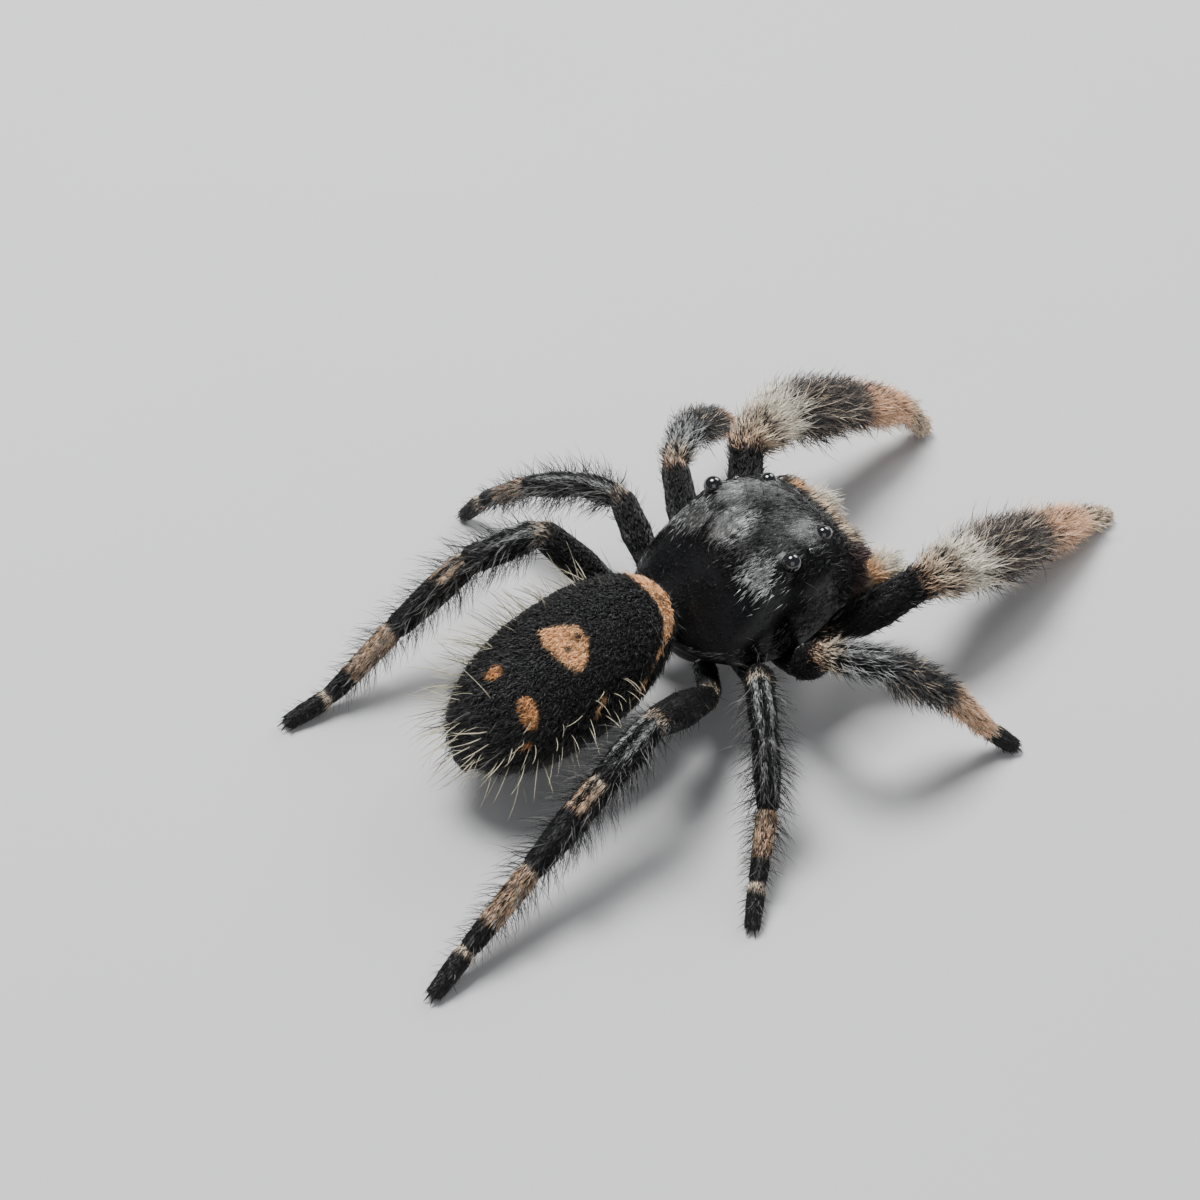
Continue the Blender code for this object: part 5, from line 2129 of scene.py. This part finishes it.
    def jaw_hair(self, sign: float) -> Hairs:
        """Thin hairs that lie down along a jaw, pale near its root and dark towards its end.

        Args:
            sign: 1 for the left side and -1 for the right.

        Returns:
            The hairs.
        """
        def tone(u: Array, v: Array, seen: Array, out: Array) -> Array:
            """Silver among dark, fewer silver ones lower down."""
            pale = self.draw.random(len(u)) < 0.75 - 0.8 * u
            return np.where(pale[:, None], SILVER.array(), PURPLE.array() * 0.5)

        def thinning(u: Array, v: Array) -> Array:
            """Thick at the root, thin below."""
            return 0.25 + np.exp(-u / 0.35)

        growth = Growth(count=620, length=lambda u, v, out: 0.20 + 0.10 * u, lift=24, fall=8, width=0.018,
                        tone=tone, share=thinning, unruly=0.25)
        return growth.grow(JawShape(sign), self.draw)

    def clypeus(self) -> Hairs:
        """Pale fringe under the front eyes that hangs over the roots of the jaws.

        Returns:
            The hairs.
        """
        def line(spot: Array) -> Array:
            """Roots along the lower edge of the face, with a slight wave."""
            return np.stack([5.16 - 0.08 * spot ** 2, 1.10 * spot, 3.02 + 0.05 * np.cos(9 * spot)], axis=-1)

        tones = ((-1.0, PEACH), (-0.4, WHITE), (0.4, WHITE), (1.0, PEACH))
        return self.band(count=1500, line=line, out=(1.0, 0, 0.0), lie=(0.25, 0, -1.0), splay=0.10,
                         length=0.62, lift=30, fall=8, tones=tones, dark=0.06, row=0.85)


@dataclass
class JawShape(Surface):
    """One stout jaw: superellipse sections that bulge a third of the way down and lean forward."""

    sign: float
    top: float = 2.74
    length: float = 1.56
    half_width: float = 0.455
    half_depth: float = 0.52
    centre: tuple[float, float] = (5.02, 0.47)
    lean: float = 0.28
    squareness: float = 2.5
    slimmest: float = 0.82
    swelling: float = 0.22

    def at(self, u: Array, v: Array) -> Array:
        """Gives the points: downwards by u, round by v.

        Args:
            u: places from end to end.
            v: places round.

        Returns:
            The points.
        """
        swell = self.swelling * np.sin(math.pi * np.minimum(1.0, u * 1.25 + 0.12))
        bulge = self.slimmest + swell - self.swelling * u ** 3
        close = domed(u / 0.08) * domed((1 - u) / 0.10)
        across, ahead = superellipse(TURN * v, self.squareness)
        return np.stack([self.centre[0] + self.lean * u + ahead * self.half_depth * bulge * close,
                         self.sign * self.centre[1] + across * self.half_width * np.minimum(bulge, 1) * close,
                         self.top - self.length * u + np.zeros_like(across)], axis=-1)


# Camera, light and floor


@dataclass(frozen=True)
class Lamp:
    """A square soft light that faces the model.

    Args:
        name: its name.
        spot: its place in metres.
        power: watts.
        size: length of its side in metres.
    """

    name: str
    spot: Triple
    power: float
    size: float

    def build(self) -> None:
        """Adds the light, turned to the middle of the floor under the model."""
        data = bpy.data.lights.new(self.name, "AREA")
        data.energy, data.size = self.power, self.size
        lamp = bpy.data.objects.new(self.name, data)
        spot = Vector(self.spot)
        lamp.matrix_world = Matrix.Translation(spot) @ spot.to_track_quat("Z", "Y").to_matrix().to_4x4()
        bpy.context.scene.collection.objects.link(lamp)


@dataclass(frozen=True)
class Studio:
    """Camera at the photo's place, a pale floor and soft light.

    Args:
        place: where the model stands.
        camera: the camera's place as (forward, left, up) in millimetres.
        look: the way it looks, in the same axes.
        across: the way the picture's right side points.
        lens: focal length.
        sensor: width of the sensor.
        clip: the nearest and the farthest that the camera sees, in metres.
        lamps: the lights.
        sky: colour of the light from all round, and its strength.
        floor: half the width of the floor and how far it lies under the soles, in millimetres.
    """

    place: Placement
    camera: Triple = (-23.23, -32.70, 41.79)
    look: Triple = (0.40490, 0.60030, -0.68971)
    across: Triple = (0.8414, -0.5398, 0.0241)
    lens: float = 70.29
    sensor: float = 36.0
    clip: tuple[float, float] = (0.0005, 5.0)
    lamps: tuple[Lamp, ...] = (Lamp("key", (0.07, 0.01, 0.17), 0.52, 0.07),
                               Lamp("fill", (-0.16, 0.08, 0.12), 0.08, 0.16),
                               Lamp("back", (0.06, -0.15, 0.12), 0.20, 0.09))
    sky: tuple = ((0.9, 0.93, 1.0, 1.0), 0.26)
    floor: tuple[float, float] = (2500.0, 0.02)

    def turned(self, way: Sequence[float]) -> Vector:
        """A direction given as (forward, left, up) in the row's axes."""
        return Vector((way[1], -way[0], way[2])).normalized()

    def build(self) -> None:
        """Sets up the camera, the lights, the world and the floor."""
        data = bpy.data.cameras.new("photo_view")
        data.lens, data.sensor_width = self.lens, self.sensor
        data.clip_start, data.clip_end = self.clip
        camera = bpy.data.objects.new("photo_view", data)
        look, right = self.turned(self.look), self.turned(self.across)
        turn = Matrix((right, right.cross(look), -look)).transposed()
        camera.matrix_world = Matrix.Translation(Vector(self.place.row(self.camera))) @ turn.to_4x4()
        bpy.context.scene.collection.objects.link(camera)
        bpy.context.scene.camera = camera
        for lamp in self.lamps:
            lamp.build()
        world = bpy.data.worlds.new("studio")
        world.use_nodes = True
        sky = world.node_tree.nodes["Background"].inputs
        sky["Color"].default_value, sky["Strength"].default_value = self.sky
        bpy.context.scene.world = world
        half, drop = self.floor
        corners = np.array([(x * half, y * half, -drop) for x, y in ((-1, -1), (1, -1), (1, 1), (-1, 1))])
        floor = make_object("floor", corners, [np.array(((0, 1, 2, 3),))], self.place)
        floor.data.materials.append(FloorFinish().make())


def main() -> None:
    """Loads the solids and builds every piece."""
    logging.basicConfig(level=logging.INFO, format="%(name)s %(message)s")
    for thing in list(bpy.data.objects):
        bpy.data.objects.remove(thing, do_unlink=True)
    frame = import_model()
    rear_eye = EYES[-1]
    place = Placement.from_frame(f"{rear_eye.name}_left", *rear_eye.centre[:2])
    draw = np.random.default_rng(SEED)
    under = UNDER_SHELL.make()
    for node in frame["nodes"].values():
        node.data.materials.clear()
        node.data.materials.append(under)
    pieces = Body(place, draw).dress() + Head(place, draw).dress()
    for piece in pieces:
        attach(piece, "root")
        LOG.info("placed %s", piece.name)
    Studio(place).build()


if __name__ == "__main__":
    main()
